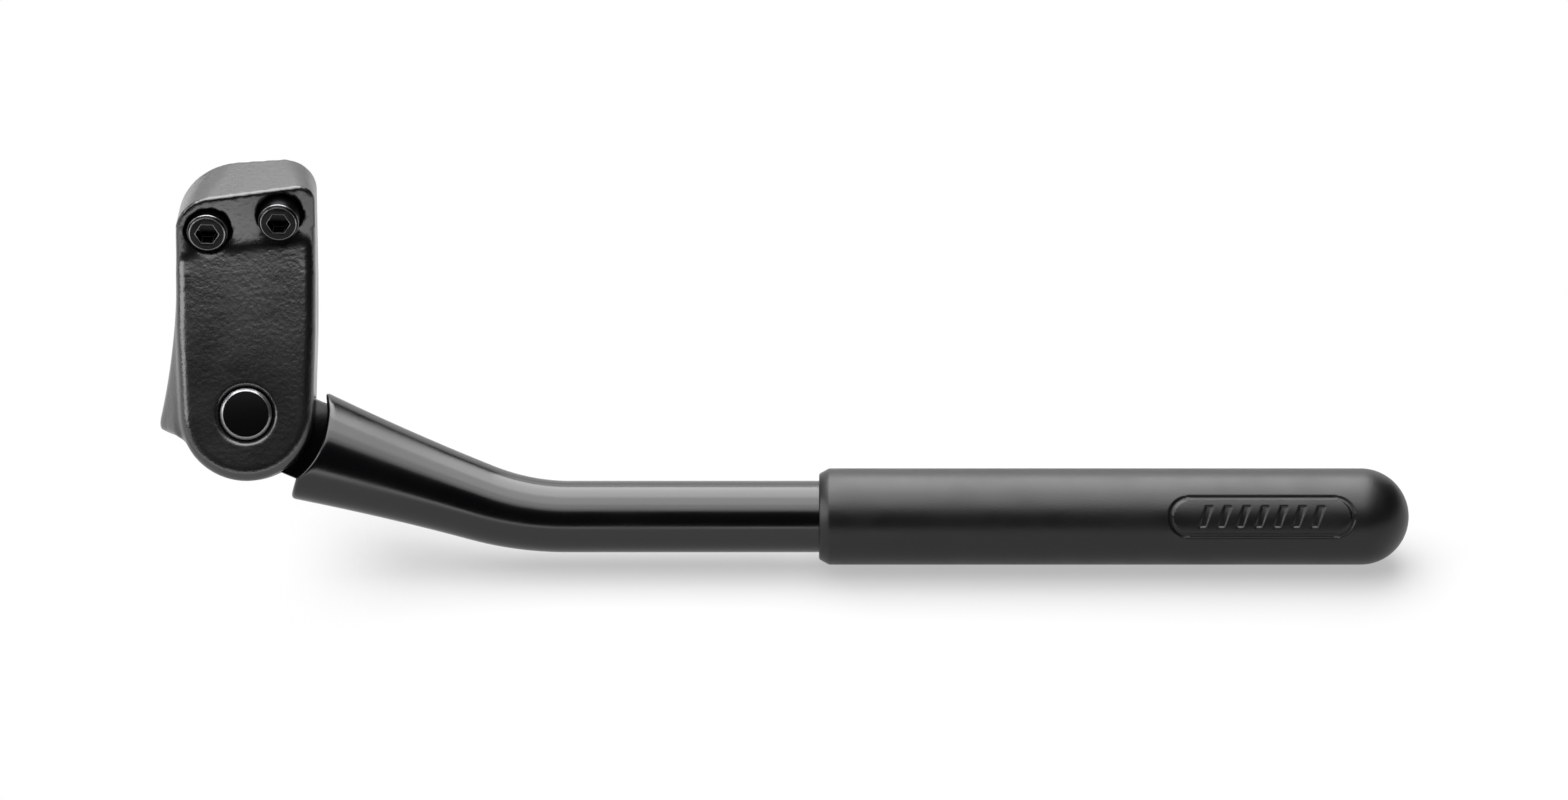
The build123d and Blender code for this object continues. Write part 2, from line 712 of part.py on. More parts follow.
# ---------------------------------------------------------------- write the pieces
os.makedirs("parts", exist_ok=True)
pieces = [mount_body.part, *mount_bolts.values(), *lock_washers.values(), pivot_pin.part]
pieces += [pin_retaining_ring.part, *thrust_washers.values(), pivot_bush.part, leg.part]
pieces += [detent_plunger.part, detent_spring, foot_sleeve.part, sleeve_guide_pin.part]
pieces += [lock_lever.part, lock_lever_pin.part, lock_spring]
for piece in pieces:
    export_step(piece, f"parts/{piece.label}.step")
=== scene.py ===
"""Looks of a rear-mount bicycle kickstand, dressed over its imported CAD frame.

Unless a field says otherwise, sizes are millimetres in the pivot's own axes: X runs to the right
along the folded leg, Y up across it, and Z out of the pin's end towards the viewer.
"""

import json
import logging
import math
from dataclasses import dataclass
from enum import Enum

import bmesh
import bpy
from mathutils import Matrix, Vector
from mathutils.bvhtree import BVHTree


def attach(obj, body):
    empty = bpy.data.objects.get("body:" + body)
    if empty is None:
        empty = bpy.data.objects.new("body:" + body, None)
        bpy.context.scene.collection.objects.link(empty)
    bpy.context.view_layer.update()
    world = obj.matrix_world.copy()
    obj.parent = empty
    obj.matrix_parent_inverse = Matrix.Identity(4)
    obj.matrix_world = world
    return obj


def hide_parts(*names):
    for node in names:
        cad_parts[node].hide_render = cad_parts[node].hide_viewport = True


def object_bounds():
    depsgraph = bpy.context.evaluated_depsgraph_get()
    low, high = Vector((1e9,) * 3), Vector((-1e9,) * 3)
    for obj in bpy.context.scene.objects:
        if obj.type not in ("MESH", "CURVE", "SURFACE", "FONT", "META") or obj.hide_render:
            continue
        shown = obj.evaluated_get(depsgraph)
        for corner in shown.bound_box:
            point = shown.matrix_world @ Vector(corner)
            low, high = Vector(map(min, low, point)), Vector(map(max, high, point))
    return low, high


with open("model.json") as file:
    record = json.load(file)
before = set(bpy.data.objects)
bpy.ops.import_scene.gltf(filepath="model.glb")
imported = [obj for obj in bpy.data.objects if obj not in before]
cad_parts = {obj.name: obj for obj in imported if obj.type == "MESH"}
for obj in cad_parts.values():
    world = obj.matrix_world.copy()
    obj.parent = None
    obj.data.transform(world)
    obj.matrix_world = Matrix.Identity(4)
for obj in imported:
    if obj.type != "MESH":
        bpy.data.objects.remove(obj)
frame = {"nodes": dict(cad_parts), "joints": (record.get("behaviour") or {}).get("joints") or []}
bounds_at_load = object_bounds()

LOG = logging.getLogger("kickstand")
MM = 0.001
# The face attribute that says how far a face is rubbed bare and carries a painted highlight.
WEAR_AND_HIGHLIGHT = "worn_edge"
# Vertices this close are one, in millimetres: in a CAD node, and in a mesh built from rings.
CAD_WELD = 0.0005
RING_WELD = 0.0002
# Local sizes this close are equal, in millimetres.
EQUAL = 0.01
# Nearly all values of a noise texture lie between these.
NOISE_RANGE = (0.3, 0.7)
# Watts of an area lamp for each square metre and each unit of brightness seen in a mirror.
LAMP_WATTS = 4.0


class Finish(Enum):
    """The record's material slots."""

    CAST_PAINT = "body_paint"
    BAR_PAINT = "leg_paint"
    NYLON = "sleeve_nylon"
    BLACK_STEEL = "black_steel"
    BRIGHT_STEEL = "bright_steel"
    BRONZE = "bush_bronze"


@dataclass(frozen=True)
class PivotFrame:
    """Axes of the leg's hinge, through which every local size reaches the row's frame.

    Args:
        origin: a point on the hinge, in metres.
        right, up, out: unit vectors of the local X, Y and Z.
    """

    origin: Vector
    right: Vector
    up: Vector
    out: Vector

    @classmethod
    def of_joint(cls, joint: dict) -> "PivotFrame":
        """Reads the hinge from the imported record.

        Args:
            joint: the record's entry for the leg's pivot.

        Returns:
            The frame whose Z is the hinge axis turned towards the viewer.
        """
        out = -Vector(joint["axis"]).normalized()
        up = (Vector((0, 0, 1)) - out.z * out).normalized()
        return cls(Vector(joint["pos_m"]), up.cross(out), up, out)

    @property
    def matrix(self) -> Matrix:
        """Local millimetres to the row's metres."""
        turn = Matrix((self.right, self.up, self.out)).transposed().to_4x4()
        return Matrix.Translation(self.origin) @ turn @ Matrix.Scale(MM, 4)

    def local(self, point: Vector) -> Vector:
        """Local millimetres of a point given in the row's metres."""
        offset = (point - self.origin) / MM
        return Vector((offset.dot(self.right), offset.dot(self.up), offset.dot(self.out)))


# Axes that only turn local millimetres into metres.
IDENTITY = PivotFrame(Vector(), Vector((1, 0, 0)), Vector((0, 1, 0)), Vector((0, 0, 1)))


# ---------------------------------------------------------------- materials
def linear(hex_colour: str) -> tuple[float, float, float, float]:
    """Turns an sRGB hex colour into the linear colour that a shader takes.

    Args:
        hex_colour: six hex digits.

    Returns:
        Linear red, green, blue and an alpha of one.
    """
    channels = []
    for start in (0, 2, 4):
        value = int(hex_colour[start:start + 2], 16) / 255
        channels.append(value / 12.92 if value <= 0.04045 else ((value + 0.055) / 1.055) ** 2.4)
    return (*channels, 1.0)


def add_node(
    tree: bpy.types.NodeTree, kind: str, feeds: dict | None = None, **settings
) -> bpy.types.Node:
    """Adds one shader node.

    Args:
        tree: the node tree it joins.
        kind: the node's type name.
        feeds: values or output sockets for its inputs, by name or number.
        settings: the node's own properties.

    Returns:
        The new node.
    """
    node = tree.nodes.new(kind)
    for key, value in settings.items():
        setattr(node, key, value)
    for key, value in (feeds or {}).items():
        if isinstance(value, bpy.types.NodeSocket):
            tree.links.new(value, node.inputs[key])
        else:
            node.inputs[key].default_value = value
    return node


class Shader:
    """A physically based material whose patterns are laid out in the object's own space."""

    def __init__(
        self, name: str, colour: str, roughness: float = 0.5, metallic: float = 0.0
    ) -> None:
        """Starts the material with its surface, its output and the object's own coordinates.

        Args:
            name: what the real material is and how its surface was made.
            colour: its colour as sRGB hex digits.
            roughness: its roughness, unless a pattern varies it.
            metallic: one for a metal, zero for paint and plastic.
        """
        self.material = bpy.data.materials.new(name)
        self.material.use_nodes = True
        self.material.diffuse_color = linear(colour)
        self.tree = self.material.node_tree
        self.tree.nodes.clear()
        self.surface = add_node(
            self.tree,
            "ShaderNodeBsdfPrincipled",
            {"Base Color": linear(colour), "Roughness": roughness, "Metallic": metallic},
        )
        feeds = {"Surface": self.surface.outputs["BSDF"]}
        self.output = add_node(self.tree, "ShaderNodeOutputMaterial", feeds)
        self.place = add_node(self.tree, "ShaderNodeTexCoord").outputs["Object"]

    def noise(self, size: float, detail: float = 2.0) -> bpy.types.NodeSocket:
        """A cloud pattern.

        Args:
            size: width of one lump in millimetres.
            detail: octaves of finer lumps.

        Returns:
            Values round one half.
        """
        feeds = {"Vector": self.place, "Scale": 1 / (size * MM), "Detail": detail}
        return add_node(self.tree, "ShaderNodeTexNoise", feeds).outputs["Fac"]

    def spread(
        self, pattern: bpy.types.NodeSocket, low: float, high: float
    ) -> bpy.types.NodeSocket:
        """Maps a cloud pattern to a range of values.

        Args:
            pattern: the cloud pattern.
            low, high: the range.

        Returns:
            The mapped values.
        """
        start, end = NOISE_RANGE
        feeds = {
            "Value": pattern, "From Min": start, "From Max": end, "To Min": low, "To Max": high,
        }
        return add_node(self.tree, "ShaderNodeMapRange", feeds).outputs["Result"]

    def relief(self, pattern: bpy.types.NodeSocket, depth: float) -> None:
        """Raises the surface by a pattern, on top of any relief it has already.

        Args:
            pattern: heights from zero to one.
            depth: the height of one, in millimetres.
        """
        feeds = {"Height": pattern, "Distance": depth * MM, "Strength": 1.0}
        bump = add_node(self.tree, "ShaderNodeBump", feeds)
        already = self.surface.inputs["Normal"].links
        if already:
            self.tree.links.new(already[0].from_socket, bump.inputs["Normal"])
        self.tree.links.new(bump.outputs["Normal"], self.surface.inputs["Normal"])

    def vary(self, target: str, value: bpy.types.NodeSocket) -> None:
        """Drives one input of the surface by a pattern."""
        self.tree.links.new(value, self.surface.inputs[target])

    def wear_and_highlight(self, colour: str, roughness: float, share: float) -> None:
        """Paints bright metal where a mesh marks its edges: partly rubbed bare, partly a painted
        highlight.

        Args:
            colour: the bare metal's colour, which also stands for the painted highlight.
            roughness: the bare metal's roughness.
            share: how much of the finish the rubbing and the painted highlight replace, from zero
                to one.
        """
        # The marked faces take a bright metal colour that is partly rubbed steel and partly a
        # painted highlight.
        wear_and_highlight_mask = add_node(self.tree, "ShaderNodeAttribute", attribute_name=WEAR_AND_HIGHLIGHT).outputs["Fac"]
        feeds = {0: wear_and_highlight_mask, 1: share}
        amount = add_node(self.tree, "ShaderNodeMath", feeds, operation="MULTIPLY").outputs["Value"]
        # A mix node's sockets share their names between data types, so they go by number here.
        own = self.surface.inputs["Base Color"].default_value
        feeds = {0: amount, 6: tuple(own), 7: linear(colour)}
        mixed = add_node(self.tree, "ShaderNodeMix", feeds, data_type="RGBA")
        self.vary("Base Color", mixed.outputs[2])
        own = self.surface.inputs["Roughness"].default_value
        feeds = {0: amount, 2: own, 3: roughness}
        mixed = add_node(self.tree, "ShaderNodeMix", feeds, data_type="FLOAT")
        self.vary("Roughness", mixed.outputs[0])


@dataclass(frozen=True)
class CastPaint:
    """Semi-gloss black paint on a die casting.

    Args:
        colour: the paint's colour.
        gloss: the shader's specular level.
        roughness: the least and the greatest roughness.
        peel_size, peel_depth: width and height of the orange peel's lumps.
        wave_size, wave_depth: width and height of the waves in the casting.
        sheen_size: width of the patches in which the sheen varies.
    """

    colour: str = "060606"
    roughness: tuple[float, float] = (0.25, 0.33)
    peel_size: float = 1.1
    peel_depth: float = 0.075
    gloss: float = 0.85
    wave_size: float = 6.0
    wave_depth: float = 0.03
    sheen_size: float = 14.0

    def build(self) -> bpy.types.Material:
        """Makes the material.

        Returns:
            The paint of the casting.
        """
        shader = Shader("semi-gloss black paint, sprayed on die-cast aluminium", self.colour)
        shader.surface.inputs["Specular IOR Level"].default_value = self.gloss
        # Orange peel breaks the edges of reflections into a fine ripple.
        shader.relief(shader.noise(self.peel_size), self.peel_depth)
        # The casting under the paint is slightly wavy, so wide reflections wander.
        shader.relief(shader.noise(self.wave_size, detail=1.0), self.wave_depth)
        # The paint's sheen is uneven from spraying.
        shader.vary("Roughness", shader.spread(shader.noise(self.sheen_size), *self.roughness))
        return shader.material


@dataclass(frozen=True)
class BarPaint:
    """Smooth black paint on a forged and drawn bar.

    Args:
        colour: the paint's colour.
        roughness: the least and the greatest roughness.
        peel_size, peel_depth: width and height of the lumps in the paint.
        sheen_size: width of the patches that handling has dulled.
    """

    colour: str = "040405"
    roughness: tuple[float, float] = (0.15, 0.21)
    peel_size: float = 1.6
    peel_depth: float = 0.004
    sheen_size: float = 22.0

    def build(self) -> bpy.types.Material:
        """Makes the material.

        Returns:
            The paint of the leg.
        """
        shader = Shader("gloss black paint, stoved on an aluminium bar", self.colour)
        # A faint flow texture softens the long highlight's edges.
        shader.relief(shader.noise(self.peel_size, detail=1.0), self.peel_depth)
        # Handling dulls the gloss in patches.
        shader.vary("Roughness", shader.spread(shader.noise(self.sheen_size), *self.roughness))
        return shader.material


@dataclass(frozen=True)
class GrainedNylon:
    """Matte black glass-filled nylon.

    Args:
        colour: the nylon's colour.
        gloss: the shader's specular level.
        roughness: the least and the greatest roughness.
        grain_size, grain_depth: width and height of the mould's grain.
        flow_size: width of the patches that flow has left.
    """

    colour: str = "040404"
    gloss: float = 0.4
    roughness: tuple[float, float] = (0.36, 0.43)
    grain_size: float = 0.45
    grain_depth: float = 0.022
    flow_size: float = 9.0

    def build(self) -> bpy.types.Material:
        """Makes the material.

        Returns:
            The nylon of the sleeve and its lever.
        """
        shader = Shader("glass-filled nylon, injection moulded", self.colour)
        shader.surface.inputs["Specular IOR Level"].default_value = self.gloss
        # Spark-eroded mould grain gives the dull, dry sheen.
        shader.relief(shader.noise(self.grain_size), self.grain_depth)
        # Flow during moulding leaves slightly shinier patches.
        shader.vary("Roughness", shader.spread(shader.noise(self.flow_size), *self.roughness))
        return shader.material


@dataclass(frozen=True)
class BlackOxide:
    """Blackened steel with its edges painted bright: partly rubbed bare, partly a painted
    highlight.

    Args:
        colour, roughness: of the black oxide.
        bare_and_highlight_colour, bare_and_highlight_roughness: of the steel where it is rubbed
        bare, also used as the edges' painted highlight.
        bare_and_highlight_share: how much of the oxide a marked edge gives up to bare steel and
            painted highlight.
        scratch_size, scratch_depth: width and height of the tool marks.
        metallic: the shader's metallic value, a little under bare steel's.
    """

    colour: str = "121213"
    roughness: float = 0.34
    bare_and_highlight_colour: str = "9a9a9c"
    bare_and_highlight_roughness: float = 0.28
    bare_and_highlight_share: float = 0.65
    scratch_size: float = 0.25
    scratch_depth: float = 0.004
    metallic: float = 0.9

    def build(self) -> bpy.types.Material:
        """Makes the material.

        Returns:
            The black steel of the screws, the pin, the washers and the ring.
        """
        shader = Shader("alloy steel, blackened", self.colour, self.roughness, self.metallic)
        # Fine tool marks keep the flat ends from looking like glass.
        shader.relief(shader.noise(self.scratch_size), self.scratch_depth)
        # Chamfers catch tools and cloths first and show the steel underneath; the bright colour
        # there is also a painted highlight.
        shader.wear_and_highlight(self.bare_and_highlight_colour, self.bare_and_highlight_roughness, self.bare_and_highlight_share)
        return shader.material


@dataclass(frozen=True)
class BrightSteel:
    """Bare hardened steel of springs and washers.

    Args:
        colour: the steel's colour.
        roughness: the least and the greatest roughness.
        mark_size, mark_depth: width and height of the grinding marks.
        oil_size: width of the oily patches.
    """

    colour: str = "a6a6a8"
    roughness: tuple[float, float] = (0.24, 0.34)
    mark_size: float = 0.3
    mark_depth: float = 0.003
    oil_size: float = 4.0

    def build(self) -> bpy.types.Material:
        """Makes the material.

        Returns:
            The bright steel of the springs, pins and thrust washers.
        """
        shader = Shader("spring steel, drawn and ground", self.colour, metallic=1.0)
        # Grinding marks spread the highlights.
        shader.relief(shader.noise(self.mark_size), self.mark_depth)
        # A thin film of oil makes some patches glossier.
        shader.vary("Roughness", shader.spread(shader.noise(self.oil_size), *self.roughness))
        return shader.material


@dataclass(frozen=True)
class SinteredBronze:
    """Oil-filled bronze of the bush.

    Args:
        colour: the bronze's colour.
        roughness: the least and the greatest roughness.
        pore_size, pore_depth: width and depth of the open pores.
        oil_size: width of the oily patches.
    """

    colour: str = "8a6a3c"
    roughness: tuple[float, float] = (0.38, 0.5)
    pore_size: float = 0.2
    pore_depth: float = 0.01
    oil_size: float = 3.0

    def build(self) -> bpy.types.Material:
        """Makes the material.

        Returns:
            The bronze of the pivot's bush.
        """
        shader = Shader("bronze, sintered and oil-filled", self.colour, metallic=1.0)
        # Open pores give the dull grain of pressed powder.
        shader.relief(shader.noise(self.pore_size, detail=3.0), self.pore_depth)
        # Oil darkens and smooths the surface unevenly.
        shader.vary("Roughness", shader.spread(shader.noise(self.oil_size), *self.roughness))
        return shader.material


# ---------------------------------------------------------------- shared mesh work
def merged_copy(node: str) -> bmesh.types.BMesh:
    """Copies a CAD node's loose triangles into one joined mesh.

    Args:
        node: the CAD node's name.

    Returns:
        A new mesh in the row's metres.
    """
    shape = bmesh.new()
    shape.from_mesh(frame["nodes"][node].data)
    bmesh.ops.remove_doubles(shape, verts=shape.verts, dist=CAD_WELD * MM)
    return shape


def place_piece(
    name: str, shape: bmesh.types.BMesh, body: str, nodes: tuple[str, ...],
    material: bpy.types.Material, sharp_angle: float = 30.0,
) -> bpy.types.Object:
    """Turns a mesh into a piece of the object that stands for CAD nodes.

    Args:
        name: the piece's name.
        shape: its mesh in the row's metres, which is used up.
        body: the CAD body that it moves with.
        nodes: the CAD nodes that it replaces.
        material: the slot's material.
        sharp_angle: degrees above which an edge stays crisp.

    Returns:
        The new object.
    """
    bmesh.ops.recalc_face_normals(shape, faces=shape.faces)
    for face in shape.faces:
        face.smooth = True
    limit = math.radians(sharp_angle)
    for edge in shape.edges:
        edge.smooth = len(edge.link_faces) != 2 or edge.calc_face_angle(0) < limit
    mesh = bpy.data.meshes.new(name)
    shape.to_mesh(mesh)
    shape.free()
    mesh.materials.append(material)
    piece = bpy.data.objects.new(name, mesh)
    bpy.context.scene.collection.objects.link(piece)
    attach(piece, body)
    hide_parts(*nodes)
    LOG.info("%s: %d faces", name, len(mesh.polygons))
    return piece


def through_modifiers(shape: bmesh.types.BMesh, *steps: tuple[str, dict]) -> bmesh.types.BMesh:
    """Runs a mesh through modifiers and takes the result.

    Args:
        shape: the mesh, which is used up.
        steps: each modifier's type and its settings.

    Returns:
        The changed mesh.
    """
    mesh = bpy.data.meshes.new("work")
    shape.to_mesh(mesh)
    shape.free()
    carrier = bpy.data.objects.new("work", mesh)
    bpy.context.scene.collection.objects.link(carrier)
    for kind, settings in steps:
        modifier = carrier.modifiers.new(kind.lower(), kind)
        for key, value in settings.items():
            setattr(modifier, key, value)
    carrier_now = carrier.evaluated_get(bpy.context.evaluated_depsgraph_get())
    result = bmesh.new()
    result.from_mesh(carrier_now.to_mesh())
    carrier_now.to_mesh_clear()
    bpy.data.objects.remove(carrier)
    bpy.data.meshes.remove(mesh)
    return result


def soften(shape: bmesh.types.BMesh, verts: list[bmesh.types.BMVert], rounds: int) -> None:
    """Smooths some vertices of a mesh.

    Args:
        shape: the mesh.
        verts: its vertices to move.
        rounds: how often.
    """
    axes = {"use_axis_x": True, "use_axis_y": True, "use_axis_z": True}
    for _ in range(rounds):
        bmesh.ops.smooth_vert(shape, verts=verts, factor=0.5, **axes)


def join(shape: bmesh.types.BMesh, part: bmesh.types.BMesh, pivot: PivotFrame) -> None:
    """Adds a part made in local millimetres to a mesh in metres.

    Args:
        shape: the mesh in metres.
        part: the part, which is used up.
        pivot: the local axes.
    """
    bmesh.ops.transform(part, matrix=pivot.matrix, verts=part.verts)
    mesh = bpy.data.meshes.new("part")
    part.to_mesh(mesh)
    part.free()
    shape.from_mesh(mesh)
    bpy.data.meshes.remove(mesh)


def wrap_rings(
    shape: bmesh.types.BMesh, rings: list[list[Vector]], pivot: PivotFrame
) -> None:
    """Wraps a grid round rings of points, closes its seam and caps any open end.

    Args:
        shape: the mesh it joins.
        rings: points in local millimetres, all rings in the same order.
        pivot: the local axes.
    """
    columns, rows = len(rings[0]), len(rings) - 1
    made = bmesh.ops.create_grid(shape, x_segments=columns, y_segments=rows, size=1.0)["verts"]
    for vert in made:
        column = round((vert.co.x + 1) / 2 * columns) % columns
        row = round((vert.co.y + 1) / 2 * rows)
        vert.co = pivot.matrix @ rings[row][column]
    bmesh.ops.remove_doubles(shape, verts=made, dist=RING_WELD * MM)
    open_edges = [edge for edge in shape.edges if edge.is_boundary]
    if open_edges:
        bmesh.ops.holes_fill(shape, edges=open_edges, sides=0)


def combined(
    shape: bmesh.types.BMesh, tool: bmesh.types.BMesh, operation: str, pivot: PivotFrame
) -> bmesh.types.BMesh:
    """Joins a tool made in local millimetres to a mesh, or cuts it away, and uses both up.

    Args:
        shape: the mesh in metres.
        tool: the tool in local millimetres.
        operation: UNION or DIFFERENCE.
        pivot: the local axes.

    Returns:
        The changed mesh.
    """
    bmesh.ops.transform(tool, matrix=pivot.matrix, verts=tool.verts)
    for item in (shape, tool):
        bmesh.ops.recalc_face_normals(item, faces=item.faces)
    mesh = bpy.data.meshes.new("tool")
    tool.to_mesh(mesh)
    tool.free()
    cutter = bpy.data.objects.new("tool", mesh)
    bpy.context.scene.collection.objects.link(cutter)
    settings = {"operation": operation, "object": cutter, "solver": "EXACT"}
    result = through_modifiers(shape, ("BOOLEAN", settings))
    bpy.data.objects.remove(cutter)
    bpy.data.meshes.remove(mesh)
    return result


@dataclass(frozen=True)
class EdgedCopy:
    """A CAD node's shape with its hard edges broken, and the breaks marked for the bright edge
    colour, which is partly rubbed steel and partly a painted highlight.

    Args:
        node: the CAD node.
        body: the body it moves with.
        finish: its material slot.
        break_width: width of the broken edges.
        hard_angle: degrees from which an edge counts as hard.
        wear_and_highlight_axis: the piece's own axis, if the chamfers round it are painted bright,
            as rubbed steel and as a painted highlight.
        wear_and_highlight_lean: cosines between which a face leans on that axis if it is a chamfer.
        flat_angle: degrees up to which neighbouring triangles count as one flat face.
    """

    node: str
    body: str
    finish: Finish
    break_width: float = 0.15
    hard_angle: float = 32.0
    wear_and_highlight_axis: tuple[float, float, float] | None = None
    wear_and_highlight_lean: tuple[float, float] = (0.4, 0.9)
    flat_angle: float = 1.5

    def build(self, materials: dict[Finish, bpy.types.Material]) -> bpy.types.Object:
        """Makes the piece.

        Args:
            materials: the material of each finish.

        Returns:
            The piece, named after its node.
        """
        shape = merged_copy(self.node)
        everything = {"verts": shape.verts, "edges": shape.edges}
        limit = math.radians(self.flat_angle)
        bmesh.ops.dissolve_limit(shape, angle_limit=limit, delimit=set(), **everything)
        hard = [
            edge for edge in shape.edges
            if len(edge.link_faces) == 2 and edge.calc_face_angle(0) > math.radians(self.hard_angle)
        ]
        wear_and_highlight_mask = shape.faces.layers.float.new(WEAR_AND_HIGHLIGHT)
        # Chamfers leaning on the axis get the bright edge colour: partly rubbed steel, partly a
        # painted highlight.
        if self.wear_and_highlight_axis is not None:
            least, most = self.wear_and_highlight_lean
            for face in shape.faces:
                face[wear_and_highlight_mask] = float(least < abs(face.normal.dot(Vector(self.wear_and_highlight_axis))) < most)
        made = bmesh.ops.bevel(
            shape, geom=hard, offset=self.break_width * MM, offset_type="OFFSET", affect="EDGES",
            segments=2, profile=0.5, material=-1, clamp_overlap=True,
        )
        # The bevels' faces get the bright edge colour, partly rubbed steel and partly a painted
        # highlight.
        for face in made["faces"]:
            face[wear_and_highlight_mask] = 1.0
        return place_piece(
            f"{self.node}_edged", shape, self.body, (self.node,),
            materials[self.finish],
        )


# ---------------------------------------------------------------- the body on the bicycle's frame
@dataclass(frozen=True)
class CastBody:
    """The painted casting: its CAD shape with every edge rounded as the casting and paint round it.

    Args:
        voxel: size of the working mesh's cells.
        rounds, last_rounds: smoothing rounds that round all edges, and that even out the end.
        true_within: vertices this close to the CAD surface are laid back on it.
        crisp_within: the same round the machined holes, whose edges stay crisp.
        hole_spacing, hole_rise, hole_reach: the bolt holes' spacing, their line's rise in degrees,
            and how far round each hole the edges are crisp.
        mouth_reach, mouth_depth: radius round the pin and local Z where its mouth is crisp.
        crease_low, crease_high: local heights between which the hollow under the bolt face lies.
        crease_depth: local Z from which the hollow is looked for.
        crease_rounds: smoothing rounds in each step of the hollow's wide fillet.
        fin_side, fin_low, fin_top, fin_depth: local X, Y and Z that bound the stop fin's root.
        fin_rounds: smoothing rounds in each step that blends the fin into the head.
        blend_steps, blend_reach: steps in which a blend spreads, and how far it spreads.
    """

    voxel: float = 0.4
    rounds: int = 6
    last_rounds: int = 2
    true_within: float = 0.07
    crisp_within: float = 0.3
    hole_spacing: float = 18.0
    hole_rise: float = 10.9
    hole_reach: float = 6.0
    mouth_reach: float = 8.6
    mouth_depth: float = 10.0
    crease_low: float = 39.0
    crease_high: float = 46.0
    crease_depth: float = 8.0
    crease_rounds: int = 9
    fin_side: float = -13.6
    fin_low: float = -6.0
    fin_top: float = 30.0
    fin_depth: float = 2.0
    fin_rounds: int = 9
    blend_steps: int = 5
    blend_reach: float = 4.0

    def build(self, pivot: PivotFrame, material: bpy.types.Material) -> bpy.types.Object:
        """Makes the piece.

        Args:
            pivot: the local axes.
            material: the casting's paint.

        Returns:
            The painted casting.
        """
        exact = merged_copy("mount_body")
        surface = BVHTree.FromBMesh(exact)
        cells = {"mode": "VOXEL", "voxel_size": self.voxel * MM}
        shape = through_modifiers(exact, ("REMESH", cells))
        soften(shape, shape.verts, self.rounds)
        # What is still close to the CAD surface goes back onto it, and less so further off.
        for vert in shape.verts:
            nearest, _, _, distance = surface.find_nearest(vert.co)
            crisp = self.by_hole(vert.co) or self.in_mouth(pivot.local(vert.co))
            within = (self.crisp_within if crisp else self.true_within) * MM
            vert.co = vert.co.lerp(nearest, min(1.0, max(0.0, 2 * (1 - distance / within))))
        soften(shape, shape.verts, self.last_rounds)
        # The blends grow outwards step by step, so that they fade into the faces beside them.
        for step in range(self.blend_steps):
            spread = self.blend_reach * step / (self.blend_steps - 1)
            crease = [vert for vert in shape.verts if self.in_crease(pivot.local(vert.co), spread)]
            soften(shape, crease, self.crease_rounds)
            fin = [vert for vert in shape.verts if self.by_fin(pivot.local(vert.co), spread)]
            soften(shape, fin, self.fin_rounds)
        return place_piece(
            "cast_body", shape, "mount", ("mount_body",), material,
            sharp_angle=180.0,
        )

    def by_hole(self, point: Vector) -> bool:
        """Whether a point lies round a bolt hole.

        Args:
            point: a place in the row's metres, whose origin is midway between the holes.

        Returns:
            True within the holes' crisp reach.
        """
        rise = math.radians(self.hole_rise)
        half = self.hole_spacing / 2 * MM
        hole = Vector((half * math.cos(rise), half * math.sin(rise)))
        return any((point.xz - side * hole).length < self.hole_reach * MM for side in (-1, 1))

    def in_mouth(self, place: Vector) -> bool:
        """Whether a local point lies round the mouth of the pin's hole."""
        return place.xy.length < self.mouth_reach and place.z > self.mouth_depth

    def by_fin(self, place: Vector, spread: float) -> bool:
        """Whether a local point lies where the stop fin runs into the head's front."""
        inside = place.x < self.fin_side + spread and place.z > self.fin_depth - spread
        return inside and self.fin_low - spread < place.y < self.fin_top + spread

    def in_crease(self, place: Vector, spread: float) -> bool:
        """Whether a local point lies in the hollow between the bolt face and the head."""
        inside = self.crease_low - spread < place.y < self.crease_high
        return inside and place.z > self.crease_depth - spread


